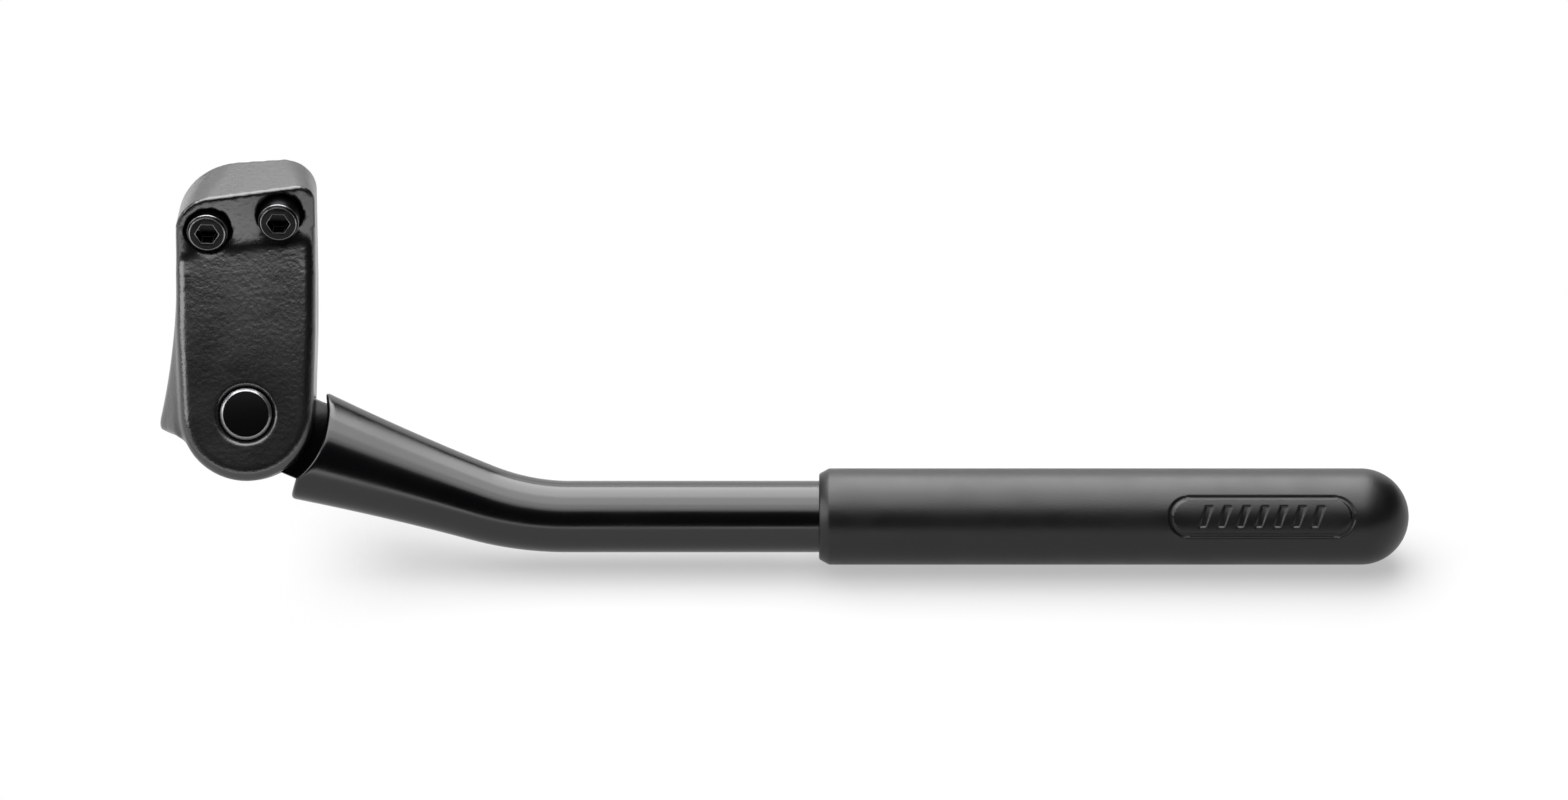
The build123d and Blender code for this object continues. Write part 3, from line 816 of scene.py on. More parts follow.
# ---------------------------------------------------------------- the leg
@dataclass(frozen=True)
class Leg:
    """The bent leg: a flared forging with a concave end, a bend, a straight bar and the tang.

    Args:
        around: points round each section.
        bar_radius, drop: the straight bar's radius and its axis's distance below the pivot.
        corner_x, slope, bend_radius: where and how the bar bends, the slope in degrees.
        flare_reach: from the bend's corner back to the flared end.
        flare_width, flare_depth, flare_power: the flared end's half width and depth, and the taper.
        gap_radius: the concave end face's radius round the pivot.
        lip: rounding of the end face's rim.
        end_x, end_chamfer: the bar's far end inside the sleeve.
        face_rings, lip_rings: sections over the end face and round its lip.
        taper_step, bar_step: distances between the sections of the taper and of the straight bar.
        common_start: distance from the flared end at which the sections become flat.
        halvings: steps in the search for the end face.
        eye_inner, eye_outer, eye_around: the tang's eye round the bush, and its points round.
        tang_half, tang_break: the tang's half thickness and its broken edges.
        neck_heading, neck_half_width, neck_reach: the neck's heading in degrees, half width and
            far end from the pivot.
        neck_play: how much thinner the neck is than the eye, so that no two faces coincide.
        rack_x, rack_pitch, rack_notches: the rack's middle, its pitch and the notches on each side.
        rack_depth, rack_floor, rack_mouth: a notch's depth and its length at its floor and mouth.
    """

    around: int = 160
    bar_radius: float = 8.85
    drop: float = 25.3
    corner_x: float = 68.0
    slope: float = 18.4
    bend_radius: float = 70.0
    flare_reach: float = 56.0
    flare_width: float = 13.85
    flare_depth: float = 11.5
    flare_power: float = 1.7
    gap_radius: float = 19.8
    lip: float = 1.3
    end_x: float = 246.0
    end_chamfer: float = 1.2
    face_rings: int = 12
    lip_rings: int = 6
    taper_step: float = 1.0
    bar_step: float = 4.0
    common_start: float = 14.0
    halvings: int = 30
    eye_inner: float = 7.6
    eye_outer: float = 14.5
    eye_around: int = 96
    tang_half: float = 4.45
    tang_break: float = 0.4
    neck_heading: float = -23.0
    neck_half_width: float = 10.0
    neck_reach: float = 27.0
    neck_play: float = 0.04
    rack_x: float = 155.0
    rack_pitch: float = 5.0
    rack_notches: int = 4
    rack_depth: float = 1.3
    rack_floor: float = 2.4
    rack_mouth: float = 3.6

    @property
    def bend_length(self) -> float:
        """Length of the bend along the axis."""
        return self.bend_radius * math.radians(self.slope)

    @property
    def slope_length(self) -> float:
        """Length of the sloping stretch along the axis."""
        return self.flare_reach - self.bend_radius * math.tan(math.radians(self.slope) / 2)

    def station(self, along: float) -> tuple[Vector, float, float]:
        """The axis at a distance from the flared end.

        Args:
            along: distance along the axis.

        Returns:
            The point on the axis, the share of the flare left there, and the heading in radians.
        """
        slope = math.radians(self.slope)
        share = max(0.0, 1 - along / (self.slope_length + self.bend_length)) ** self.flare_power
        if along <= self.slope_length:
            back = self.flare_reach - along
            side, rise = back * math.cos(slope), back * math.sin(slope)
            return Vector((self.corner_x - side, rise - self.drop, 0)), share, -slope
        tangent = self.bend_radius * math.tan(slope / 2)
        centre = Vector((self.corner_x + tangent, self.bend_radius - self.drop, 0))
        heading = min((along - self.slope_length) / self.bend_radius, slope) - slope
        place = centre + self.bend_radius * Vector((math.sin(heading), -math.cos(heading), 0))
        place.x += max(0.0, along - self.slope_length - self.bend_length)
        return place, share, heading

    def skin(self, along: float, angle: float, scale: float = 1.0) -> Vector:
        """A point on the leg's surface, or inside it for a scale under one.

        Args:
            along: distance of its section from the flared end.
            angle: where it is round the section, from the top towards the viewer.
            scale: share of the section's size.

        Returns:
            The point in local millimetres.
        """
        place, share, heading = self.station(along)
        width = scale * (self.bar_radius + (self.flare_width - self.bar_radius) * share)
        depth = scale * (self.bar_radius + (self.flare_depth - self.bar_radius) * share)
        upward = Vector((-math.sin(heading), math.cos(heading), 0))
        return place + width * math.cos(angle) * upward + Vector((0, 0, depth * math.sin(angle)))

    def end_start(self, angle: float, scale: float = 1.0) -> float:
        """Distance at which a line along the leg meets the concave end face.

        Args:
            angle: where the line is round the section.
            scale: share of the section's size at which it runs.

        Returns:
            The distance from the flared end.
        """
        low, high = 0.0, self.common_start
        for _ in range(self.halvings):
            middle = (low + high) / 2
            if self.skin(middle, angle, scale).xy.length < self.gap_radius:
                low = middle
            else:
                high = middle
        return high

    def rack(self, point: Vector) -> Vector:
        """Sinks a point of the hidden side into the rack of notches under the sleeve.

        Args:
            point: a point on the bar's skin in local millimetres, which is moved.

        Returns:
            The same point.
        """
        offset = (point.x - self.rack_x) / self.rack_pitch
        if abs(offset) > self.rack_notches + 0.5:
            return point
        beside = abs(offset - round(offset)) * self.rack_pitch
        share = (self.rack_mouth / 2 - beside) / ((self.rack_mouth - self.rack_floor) / 2)
        floor = self.bar_radius - self.rack_depth * min(1.0, max(0.0, share))
        point.z = max(point.z, -floor)
        return point

    def build(self, pivot: PivotFrame, material: bpy.types.Material) -> bpy.types.Object:
        """Makes the piece.

        Args:
            pivot: the local axes.
            material: the leg's paint.

        Returns:
            The painted leg.
        """
        shape = bmesh.new()
        angles = [2 * math.pi * step / self.around for step in range(self.around)]
        wrap_rings(shape, self.end_rings(angles) + self.bar_rings(angles), pivot)
        self.add_tang(shape, pivot)
        return place_piece(
            "forged_leg", shape, "leg", ("leg",), material, sharp_angle=40.0
        )

    def end_rings(self, angles: list[float]) -> list[list[Vector]]:
        """The sections over the concave end face, round its lip and on to the first flat section.

        Args:
            angles: where each section's points are.

        Returns:
            The sections, from the middle of the end face outwards.
        """
        rings = []
        share = self.lip / self.flare_width
        for step in range(1, self.face_rings + 1):
            scale = (1 - share) * step / self.face_rings
            starts = [self.end_start(angle, scale) for angle in angles]
            rings.append([self.skin(start, angle, scale) for start, angle in zip(starts, angles)])
        for step in range(1, self.lip_rings + 1):
            turn = math.pi / 2 * step / self.lip_rings
            scale = 1 - share * (1 - math.sin(turn))
            back = self.lip * (1 - math.cos(turn))
            starts = [self.end_start(angle, scale) + back for angle in angles]
            rings.append([self.skin(start, angle, scale) for start, angle in zip(starts, angles)])
        rim = [self.end_start(angle) for angle in angles]
        steps = round((self.common_start - 2 * self.lip) / self.taper_step)
        for step in range(1, steps + 1):
            part = step / steps
            rings.append([
                self.skin(start + self.lip + (self.common_start - start - self.lip) * part, angle)
                for start, angle in zip(rim, angles)
            ])
        return rings

    def bar_rings(self, angles: list[float]) -> list[list[Vector]]:
        """The flat sections from the taper over the bend to the bar's far end.

        Args:
            angles: where each section's points are.

        Returns:
            The sections in order along the leg.
        """
        rings = []
        along = self.common_start + self.taper_step
        bar_start = self.slope_length + self.bend_length
        while along < bar_start:
            rings.append([self.skin(along, angle) for angle in angles])
            along += self.taper_step
        for x in self.bar_stations():
            inset = max(0.0, x - self.end_x + self.end_chamfer)
            along = bar_start + x - self.station(bar_start)[0].x
            scale = 1 - inset / self.bar_radius
            rings.append([self.rack(self.skin(along, angle, scale)) for angle in angles])
        return rings

    def bar_stations(self) -> list[float]:
        """Places the straight bar's sections, with one at each edge of the rack's notches.

        Returns:
            Their local X, in order.
        """
        start = self.station(self.slope_length + self.bend_length)[0].x
        stops = {start, self.end_x - self.end_chamfer, self.end_x}
        count = round((self.end_x - start) / self.bar_step)
        stops.update(start + self.bar_step * step for step in range(count))
        for notch in range(-self.rack_notches, self.rack_notches + 1):
            middle = self.rack_x + notch * self.rack_pitch
            for half in (self.rack_floor / 2, self.rack_mouth / 2):
                stops.update((middle - half, middle + half))
        return sorted(stops)

    def add_tang(self, shape: bmesh.types.BMesh, pivot: PivotFrame) -> None:
        """Adds the eye round the pin and the neck that joins it to the forging.

        Args:
            shape: the leg's mesh in the row's metres.
            pivot: the local axes.
        """
        broken = self.tang_half - self.tang_break
        section = [
            (self.eye_inner, -broken), (self.eye_inner + self.tang_break, -self.tang_half),
            (self.eye_outer - self.tang_break, -self.tang_half), (self.eye_outer, -broken),
            (self.eye_outer, broken), (self.eye_outer - self.tang_break, self.tang_half),
            (self.eye_inner + self.tang_break, self.tang_half), (self.eye_inner, broken),
            (self.eye_inner, -broken),
        ]
        turns = [2 * math.pi * step / self.eye_around for step in range(self.eye_around)]
        rings = [
            [Vector((radius * math.cos(turn), radius * math.sin(turn), z)) for turn in turns]
            for radius, z in section
        ]
        eye = bmesh.new()
        # Rings are wrapped in metres, and a part is joined in local millimetres.
        wrap_rings(eye, rings, IDENTITY)
        bmesh.ops.scale(eye, vec=(1 / MM, 1 / MM, 1 / MM), verts=eye.verts)
        neck = bmesh.new()
        inner = math.sqrt(self.eye_outer**2 - self.neck_half_width**2)
        thickness = 2 * self.tang_half - self.neck_play
        size = Matrix.Diagonal((self.neck_reach - inner, 2 * self.neck_half_width, thickness, 1))
        turn = Matrix.Rotation(math.radians(self.neck_heading), 4, "Z")
        place = turn @ Matrix.Translation(((self.neck_reach + inner) / 2, 0, 0)) @ size
        bmesh.ops.create_cube(neck, size=1.0, matrix=place)
        bmesh.ops.bevel(
            neck, geom=neck.edges, offset=self.tang_break, offset_type="OFFSET", affect="EDGES",
            segments=2, profile=0.5, material=-1,
        )
        for part in (eye, neck):
            join(shape, part, pivot)


# ---------------------------------------------------------------- the sliding foot
@dataclass(frozen=True)
class FootSleeve:
    """The nylon sleeve: a lathe-turned shape with a sunk badge, and the lever's housing behind it.

    Args:
        drop: the bar's axis's distance below the pivot.
        radius, bore: outer and bore radii.
        start_x, end_x, bore_end_x: its mouth, its foot's tip and the bore's end.
        mouth_width, mouth_drop, edge_round: the mouth's chamfer and the rounding of its corners.
        pole: radius at which the lathe profile's two ends close.
        bore_step, coarse_step, fine_step: distances between the profile's points in the bore, on
            the skin and beside the badge; the last also between the skin's columns there.
        tip_rings, far_columns: profile points over the tip, and columns away from the badge.
        badge_x, badge_length, badge_height, badge_rim: the badge's middle, and its pill-shaped
            outline's length, height and line width.
        badge_depth, badge_wall, badge_margin: how deep the badge is sunk, how wide its sloping
            walls are, and how far the fine columns reach past it.
        bar_count, bar_width, bar_height, bar_pitch, bar_slant: the plain bars inside the outline,
            slanted by degrees.
        house_start, house_end, house_half, house_depth: the lever's housing along and across the
            sleeve, and its top's distance from the bar's axis.
        house_root: the share of the sleeve's radius at which the housing starts inside the wall.
        house_corner, house_round: the rounding of the housing's corners and of its top's rim.
        window_start, window_end, window_half, window_root: the opening in which the lever's tooth
            reaches the bar, and the share of the bore's radius at which its cutter starts.
        pocket_end, pocket_floor: the lever's pocket, which starts and is as wide as the opening.
        pin_x, pin_depth, pin_radius: the hole for the lever's pin.
    """

    drop: float = 25.3
    radius: float = 11.9
    bore: float = 8.95
    start_x: float = 141.0
    end_x: float = 286.6
    bore_end_x: float = 272.0
    mouth_width: float = 2.5
    mouth_drop: float = 1.3
    edge_round: float = 0.35
    pole: float = 0.01
    bore_step: float = 9.0
    coarse_step: float = 3.0
    fine_step: float = 0.25
    tip_rings: int = 30
    far_columns: int = 110
    badge_x: float = 250.0
    badge_length: float = 46.0
    badge_height: float = 10.7
    badge_rim: float = 1.0
    badge_depth: float = 0.38
    badge_wall: float = 0.35
    badge_margin: float = 1.0
    bar_count: int = 7
    bar_width: float = 1.6
    bar_height: float = 5.2
    bar_pitch: float = 4.6
    bar_slant: float = 18.0
    house_start: float = 147.5
    house_end: float = 182.0
    house_half: float = 7.2
    house_depth: float = 15.2
    house_root: float = 0.8
    house_corner: float = 4.2
    house_round: float = 1.6
    window_start: float = 150.9
    window_end: float = 169.0
    window_half: float = 4.6
    window_root: float = 0.5
    pocket_end: float = 178.3
    pocket_floor: float = 10.3
    pin_x: float = 165.0
    pin_depth: float = 12.6
    pin_radius: float = 1.25

    def profile(self) -> list[tuple[float, float]]:
        """The lathe profile, from the bore's end over the mouth to the foot's tip.

        Returns:
            The profile's points as local X and radius.
        """
        shoulder = self.end_x - self.radius
        points = [(self.bore_end_x, self.pole), (self.bore_end_x, self.bore)]
        reach = self.bore_end_x - self.start_x - self.edge_round
        count = round(reach / self.bore_step)
        for step in range(1, count + 1):
            points.append((self.bore_end_x - reach * step / count, self.bore))
        lip, inset = self.radius - self.mouth_drop, self.edge_round
        chamfer_end = self.start_x + self.mouth_width
        # Three points round each of the chamfer's two corners; one rounds the bore's edge.
        points += [
            (self.start_x, self.bore + inset),
            (self.start_x, lip - inset),
            (self.start_x + 0.3 * inset, lip - 0.3 * inset),
            (self.start_x + inset, lip + 0.4 * inset),
            (chamfer_end - inset, self.radius - 0.5 * inset),
            (chamfer_end, self.radius - 0.1 * inset),
            (chamfer_end + inset, self.radius),
        ]
        fine_start = self.badge_x - self.badge_length / 2 - self.badge_margin - self.coarse_step
        fine_end = self.badge_x + self.badge_length / 2 + self.badge_margin
        x = points[-1][0] + self.coarse_step
        while x < shoulder:
            points.append((x, self.radius))
            x += self.fine_step if fine_start < x < fine_end else self.coarse_step
        for step in range(self.tip_rings + 1):
            turn = math.pi / 2 * step / self.tip_rings
            radius = max(self.pole, self.radius * math.cos(turn))
            points.append((shoulder + self.radius * math.sin(turn), radius))
        return points

    def angles(self) -> list[float]:
        """Places the columns round the axis, close together on the side that faces the viewer.

        Returns:
            Their angles from the top, in order.
        """
        half = (self.badge_height / 2 + self.badge_margin) / self.radius
        fine = round(2 * half * self.radius / self.fine_step)
        near = [math.pi / 2 - half + 2 * half * step / fine for step in range(fine)]
        rest = 2 * math.pi - 2 * half
        count = self.far_columns
        return near + [math.pi / 2 + half + rest * step / count for step in range(count)]

    def sunk(self, x: float, across: float) -> float:
        """Depth of the badge's outline and bars at a place on the skin.

        Args:
            x: along the sleeve.
            across: up the skin from the line that faces the viewer.

        Returns:
            The depth in millimetres.
        """
        end = self.badge_length / 2 - self.badge_height / 2
        beside = max(0.0, abs(x - self.badge_x) - end)
        rim = self.badge_rim / 2
        nearest = abs(math.hypot(beside, across) - self.badge_height / 2 + rim) - rim
        slant = math.radians(self.bar_slant)
        for bar in range(self.bar_count):
            middle = self.badge_x + (bar - (self.bar_count - 1) / 2) * self.bar_pitch
            lean = math.tan(slant) * across
            aside = abs(x - middle - lean) * math.cos(slant) - self.bar_width / 2
            nearest = min(nearest, max(aside, abs(across) - self.bar_height / 2))
        share = min(1.0, max(0.0, 0.5 - nearest / self.badge_wall))
        # A smooth step, so that the walls run out roundly at their top and foot.
        return self.badge_depth * share * share * (3 - 2 * share)

    def box(
        self, start: float, end: float, half: float, near: float, far: float
    ) -> bmesh.types.BMesh:
        """A block on the hidden side.

        Args:
            start, end: its ends along local X.
            half: its half width across the bar.
            near, far: distances of its two faces from the bar's axis.

        Returns:
            The block in local millimetres.
        """
        block = bmesh.new()
        size = Matrix.Diagonal((end - start, 2 * half, far - near, 1))
        middle = Matrix.Translation(((start + end) / 2, -self.drop, -(near + far) / 2))
        bmesh.ops.create_cube(block, size=1.0, matrix=middle @ size)
        return block

    def housing(self) -> bmesh.types.BMesh:
        """The housing's block with its rounded corners and outer rim.

        Returns:
            The housing in local millimetres.
        """
        root = self.house_root * self.radius
        block = self.box(
            self.house_start, self.house_end, self.house_half, root, self.house_depth
        )
        upright = [
            edge for edge in block.edges if abs(edge.verts[0].co.z - edge.verts[1].co.z) > EQUAL
        ]
        bmesh.ops.bevel(
            block, geom=upright, offset=self.house_corner, offset_type="OFFSET", affect="EDGES",
            segments=10, profile=0.5, material=-1,
        )
        top = EQUAL - self.house_depth
        rim = [edge for edge in block.edges if all(vert.co.z < top for vert in edge.verts)]
        bmesh.ops.bevel(
            block, geom=rim, offset=self.house_round, offset_type="OFFSET", affect="EDGES",
            segments=6, profile=0.5, material=-1,
        )
        return block

    def pin_hole(self) -> bmesh.types.BMesh:
        """The drill for the lever's pin, long enough to pass through both sides of the housing.

        Returns:
            The drill in local millimetres.
        """
        drill = bmesh.new()
        turn = Matrix.Rotation(math.pi / 2, 4, "X")
        place = Matrix.Translation((self.pin_x, -self.drop, -self.pin_depth)) @ turn
        bmesh.ops.create_cone(
            drill, cap_ends=True, segments=32, radius1=self.pin_radius, radius2=self.pin_radius,
            depth=4 * self.house_half, matrix=place,
        )
        return drill

    def build(self, pivot: PivotFrame, material: bpy.types.Material) -> bpy.types.Object:
        """Makes the piece.

        Args:
            pivot: the local axes.
            material: the sleeve's nylon.

        Returns:
            The moulded sleeve.
        """
        angles = self.angles()
        rings = []
        for x, radius in self.profile():
            ring = []
            for angle in angles:
                depth = 0.0
                if radius > self.radius - EQUAL:
                    depth = self.sunk(x, (math.pi / 2 - angle) * self.radius)
                reach = radius - depth
                up, out = reach * math.cos(angle), reach * math.sin(angle)
                ring.append(Vector((x, up - self.drop, out)))
            rings.append(ring)
        shape = bmesh.new()
        wrap_rings(shape, rings, pivot)
        beyond = 2 * self.house_depth
        start, half, root = self.window_start, self.window_half, self.window_root * self.bore
        window = self.box(start, self.window_end, half, root, beyond)
        pocket = self.box(start, self.pocket_end, half, self.pocket_floor, beyond)
        shape = combined(shape, self.housing(), "UNION", pivot)
        for tool in (window, pocket, self.pin_hole()):
            shape = combined(shape, tool, "DIFFERENCE", pivot)
        return place_piece(
            "nylon_sleeve", shape, "sleeve", ("foot_sleeve",), material,
            sharp_angle=38.0,
        )


# ---------------------------------------------------------------- studio
def area_lamp(
    name: str, width: float, height: float, radiance: float, place: Matrix
) -> bpy.types.Object:
    """Hangs up a rectangular lamp that isn't seen itself.

    Args:
        name: the lamp's name.
        width, height: its size in metres.
        radiance: its brightness, where the floor's white is about one.
        place: its place, from which it shines along its own negative Z.

    Returns:
        The lamp.
    """
    lamp = bpy.data.lights.new(name, "AREA")
    lamp.shape = "RECTANGLE"
    lamp.size, lamp.size_y = width, height
    lamp.energy = LAMP_WATTS * radiance * width * height
    holder = bpy.data.objects.new(name, lamp)
    holder.matrix_world = place
    holder.visible_camera = False
    bpy.context.scene.collection.objects.link(holder)
    return holder


@dataclass(frozen=True)
class Softbox:
    """A rectangular lamp overhead, given by the strip of sky that it fills.

    Args:
        name: the lamp's name.
        low, high: degrees round the row's X axis, from the horizon in front over the zenith.
        height: metres above the floor.
        width: metres along X.
        radiance: its brightness, where the floor's white is about one.
    """

    name: str
    low: float
    high: float
    height: float
    width: float
    radiance: float

    def build(self, floor_height: float, middle_x: float) -> bpy.types.Object:
        """Makes the lamp, facing straight down.

        Args:
            floor_height: the floor's Z in the row's metres.
            middle_x: the X over which the lamp hangs, in the row's metres.

        Returns:
            The lamp.
        """
        near = -self.height / math.tan(math.radians(self.low))
        far = -self.height / math.tan(math.radians(self.high))
        place = Matrix.Translation((middle_x, (near + far) / 2, floor_height + self.height))
        return area_lamp(self.name, self.width, far - near, self.radiance, place)


@dataclass(frozen=True)
class SideCard:
    """An upright lamp beside the object, turned towards it.

    Args:
        name: the lamp's name.
        azimuth: degrees from straight in front, towards the left.
        elevation: degrees above the floor.
        distance: metres from the object.
        width, height: the lamp's size in metres.
        radiance: its brightness, where the floor's white is about one.
    """

    name: str
    azimuth: float
    elevation: float
    distance: float
    width: float
    height: float
    radiance: float

    def build(self, target: Vector) -> bpy.types.Object:
        """Makes the lamp.

        Args:
            target: where it shines, in the row's metres.

        Returns:
            The lamp.
        """
        side, rise = math.radians(self.azimuth), math.radians(self.elevation)
        level = Vector((-math.sin(side), -math.cos(side), 0)) * math.cos(rise)
        away = level + Vector((0, 0, math.sin(rise)))
        turn = away.to_track_quat("Z", "Y").to_matrix().to_4x4()
        place = Matrix.Translation(target + self.distance * away) @ turn
        return area_lamp(self.name, self.width, self.height, self.radiance, place)


@dataclass(frozen=True)
class Studio:
    """Pale floor, soft overhead light and the camera.

    Args:
        aim_right, aim_up: the view's centre from the pivot, in local millimetres.
        distance: the camera's distance in metres.
        view_width: millimetres across the view at the pivot's depth.
        sensor: the camera's sensor width in millimetres.
        floor_front, floor_back, floor_side: the floor's reach in metres.
        floor_colour: the floor's frosted top.
        floor_glow, front_glow: brightness of the light table under it, at the object and in front.
        glow_start, glow_full: where the glow rises in front of the mounting face, in metres.
        lamp_shift: how far the overhead lamps stand to the right of the view's centre, in metres.
        gloom: brightness of the dark studio beyond the lamps, as the object reflects it.
        floor_edges: the edges of the floor that the eye sees, each as an axis, where the eye
            looks through the floor on it and where the floor is solid, in metres.
        cards: the upright lamps.
        softboxes: the lamps overhead.
    """

    aim_right: float = 132.35
    aim_up: float = 3.46
    distance: float = 3.5
    view_width: float = 387.16
    sensor: float = 36.0
    floor_front: float = 0.22
    floor_back: float = 1.9
    floor_side: float = 1.6
    floor_colour: str = "767676"
    floor_glow: float = 0.46
    front_glow: float = 2.6
    glow_start: float = 0.11
    glow_full: float = 0.16
    floor_edges: tuple[tuple[str, float, float], ...] = (
        ("X", 0.008, 0.045), ("X", 0.42, 0.36), ("Y", 0.12, 0.06), ("Y", -0.16, -0.12),
    )
    lamp_shift: float = -0.35
    gloom: float = 0.01
    cards: tuple[SideCard, ...] = (
        SideCard("left card", 72.0, 22.0, 1.3, 1.1, 0.7, 4.0),
        SideCard("back card", 180.0, 16.0, 2.4, 3.0, 1.2, 1.0),
    )
    softboxes: tuple[Softbox, ...] = (
        Softbox("front strip of the softbox", 46.0, 53.0, 1.5, 1.9, 2.0),
        Softbox("second strip of the softbox", 53.0, 66.0, 1.5, 1.9, 3.2),
        Softbox("third strip of the softbox", 66.0, 92.0, 1.5, 1.9, 4.5),
        Softbox("overhead softbox", 92.0, 138.0, 1.5, 1.9, 6.4),
        Softbox("back strip of the softbox", 138.0, 152.0, 1.5, 1.9, 1.6),
    )

    def build(self, pivot: PivotFrame, floor_height: float) -> None:
        """Makes the floor, the lamps, the surroundings and the camera.

        Args:
            pivot: the local axes, along whose Z the camera looks.
            floor_height: the floor's Z in the row's metres.
        """
        middle = pivot.matrix @ Vector((self.aim_right, self.aim_up, 0))
        floor = self.floor(middle.x, floor_height)
        lamp_x = middle.x + self.lamp_shift
        lamps = [softbox.build(floor_height, lamp_x) for softbox in self.softboxes]
        lamps += [card.build(pivot.origin) for card in self.cards]
        scene = bpy.context.scene
        scene.world = self.surroundings()
        # The default view transform would lift the blacks to grey.
        scene.view_settings.view_transform = "Standard"
        scene.camera = self.camera(pivot, middle)

    def floor(self, middle_x: float, height: float) -> bpy.types.Object:
        """Makes the light table on which the folded leg lies.

        Args:
            middle_x: the X of its middle, in the row's metres.
            height: its Z in the row's metres.

        Returns:
            The floor.
        """
        shape = bmesh.new()
        size = Matrix.Diagonal((2 * self.floor_side, self.floor_front + self.floor_back, 1, 1))
        middle_y = (self.floor_back - self.floor_front) / 2
        place = Matrix.Translation((middle_x, middle_y, height))
        bmesh.ops.create_grid(shape, x_segments=1, y_segments=1, size=0.5, matrix=place @ size)
        mesh = bpy.data.meshes.new("floor")
        shape.to_mesh(mesh)
        shape.free()
        mesh.materials.append(self.table_top())
        floor = bpy.data.objects.new("floor", mesh)
        bpy.context.scene.collection.objects.link(floor)
        return floor

    def table_top(self) -> bpy.types.Material:
        """Makes the floor's material: white, glowing, and seen only round the folded leg's shadow.

        Returns:
            The frosted acrylic.
        """
        table = Shader("frosted acrylic, lit from below", self.floor_colour, 0.9)
        table.surface.inputs["Emission Color"].default_value = (1.0, 1.0, 1.0, 1.0)
        tree = table.tree
        place = add_node(tree, "ShaderNodeSeparateXYZ", {"Vector": table.place}).outputs
        # The table's front lamp is brighter: its glow shows on the faces that look forward.
        feeds = {
            "Value": place["Y"], "From Min": -self.glow_start, "From Max": -self.glow_full,
            "To Min": self.floor_glow, "To Max": self.front_glow,
        }
        glow = add_node(tree, "ShaderNodeMapRange", feeds).outputs["Result"]
        table.vary("Emission Strength", glow)
        # The floor lies close under the folded leg for its shadow, and the standing leg reaches
        # through it. So the eye looks through the floor wherever no shadow of the folded leg falls.
        solid = 1.0
        for axis, clear_at, solid_at in self.floor_edges:
            feeds = {"Value": place[axis], "From Min": clear_at, "From Max": solid_at}
            edge = add_node(tree, "ShaderNodeMapRange", feeds, interpolation_type="SMOOTHSTEP")
            feeds = {0: edge.outputs["Result"], 1: solid}
            solid = add_node(tree, "ShaderNodeMath", feeds, operation="MULTIPLY").outputs["Value"]
        clear = add_node(tree, "ShaderNodeMath", {0: 1.0, 1: solid}, operation="SUBTRACT")
        eye = add_node(tree, "ShaderNodeLightPath").outputs["Is Camera Ray"]
        feeds = {0: eye, 1: clear.outputs["Value"]}
        share = add_node(tree, "ShaderNodeMath", feeds, operation="MULTIPLY").outputs["Value"]
        nothing = add_node(tree, "ShaderNodeBsdfTransparent").outputs["BSDF"]
        feeds = {"Fac": share, 1: table.surface.outputs["BSDF"], 2: nothing}
        mixed = add_node(tree, "ShaderNodeMixShader", feeds).outputs["Shader"]
        tree.links.new(mixed, table.output.inputs["Surface"])
        return table.material

    def surroundings(self) -> bpy.types.World:
        """Makes the room, dark in the object's reflections and pale to the eye beyond the floor.

        Returns:
            The world.
        """
        world = bpy.data.worlds.new("dim studio")
        world.use_nodes = True
        sky = world.node_tree.nodes["Background"]
        eye = add_node(world.node_tree, "ShaderNodeLightPath").outputs["Is Camera Ray"]
        feeds = {"Value": eye, "To Min": self.gloom, "To Max": 1.0}
        strength = add_node(world.node_tree, "ShaderNodeMapRange", feeds).outputs["Result"]
        world.node_tree.links.new(strength, sky.inputs["Strength"])
        sky.inputs["Color"].default_value = (1.0, 1.0, 1.0, 1.0)
        return world

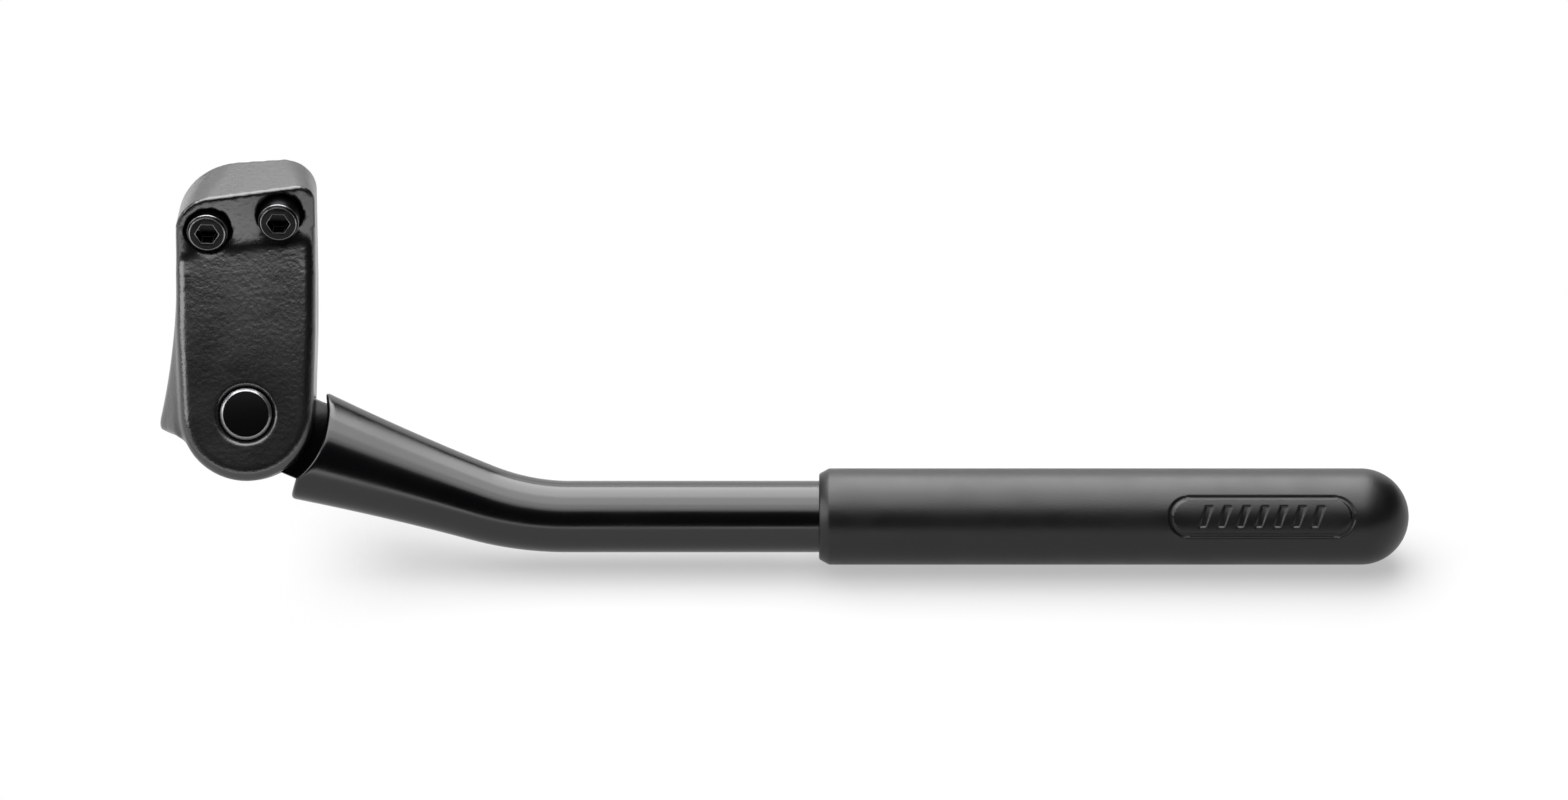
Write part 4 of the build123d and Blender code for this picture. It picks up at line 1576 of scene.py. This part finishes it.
    def camera(self, pivot: PivotFrame, middle: Vector) -> bpy.types.Object:
        """Makes the camera, which looks along the pivot's pin.

        Args:
            pivot: the local axes.
            middle: the view's centre in the row's metres.

        Returns:
            The camera.
        """
        lens = bpy.data.cameras.new("camera")
        lens.sensor_width = self.sensor
        lens.lens = self.sensor * self.distance / (self.view_width * MM)
        lens.clip_end = 4 * self.distance
        lens.dof.use_dof = False
        camera = bpy.data.objects.new("camera", lens)
        turn = Matrix((pivot.right, pivot.up, pivot.out)).transposed().to_4x4()
        camera.matrix_world = Matrix.Translation(middle + self.distance * pivot.out) @ turn
        bpy.context.scene.collection.objects.link(camera)
        return camera


def dress_cad_nodes(materials: dict[Finish, bpy.types.Material]) -> None:
    """Gives the CAD nodes that stay as they are their slot's material.

    Args:
        materials: the material of each finish.
    """
    kept = {
        Finish.BRIGHT_STEEL: (
            "thrust_washer_outer", "thrust_washer_inner", "detent_plunger", "detent_spring",
            "sleeve_guide_pin", "lock_lever_pin", "lock_spring",
        ),
        Finish.BRONZE: ("pivot_bush",),
    }
    for finish, nodes in kept.items():
        for node in nodes:
            frame["nodes"][node].material_slots[0].material = materials[finish]


def main() -> None:
    """Builds the kickstand's looks and the studio round it."""
    logging.basicConfig(level=logging.INFO)
    joint = next(item for item in frame["joints"] if item["name"] == "leg_pivot")
    pivot = PivotFrame.of_joint(joint)
    materials = {
        Finish.CAST_PAINT: CastPaint().build(),
        Finish.BAR_PAINT: BarPaint().build(),
        Finish.NYLON: GrainedNylon().build(),
        Finish.BLACK_STEEL: BlackOxide().build(),
        Finish.BRIGHT_STEEL: BrightSteel().build(),
        Finish.BRONZE: SinteredBronze().build(),
    }
    CastBody().build(pivot, materials[Finish.CAST_PAINT])
    Leg().build(pivot, materials[Finish.BAR_PAINT])
    FootSleeve().build(pivot, materials[Finish.NYLON])
    for node in ("mount_bolt_left", "mount_bolt_right"):
        EdgedCopy(node, "mount", Finish.BLACK_STEEL).build(materials)
    EdgedCopy("pivot_pin", "mount", Finish.BLACK_STEEL, wear_and_highlight_axis=tuple(pivot.out)).build(materials)
    for node in ("lock_washer_left", "lock_washer_right", "pin_retaining_ring"):
        EdgedCopy(node, "mount", Finish.BLACK_STEEL, break_width=0.1).build(materials)
    EdgedCopy("lock_lever", "lever", Finish.NYLON, break_width=0.2).build(materials)
    dress_cad_nodes(materials)
    Studio().build(pivot, bounds_at_load[0][2])


if __name__ == "__main__":
    main()
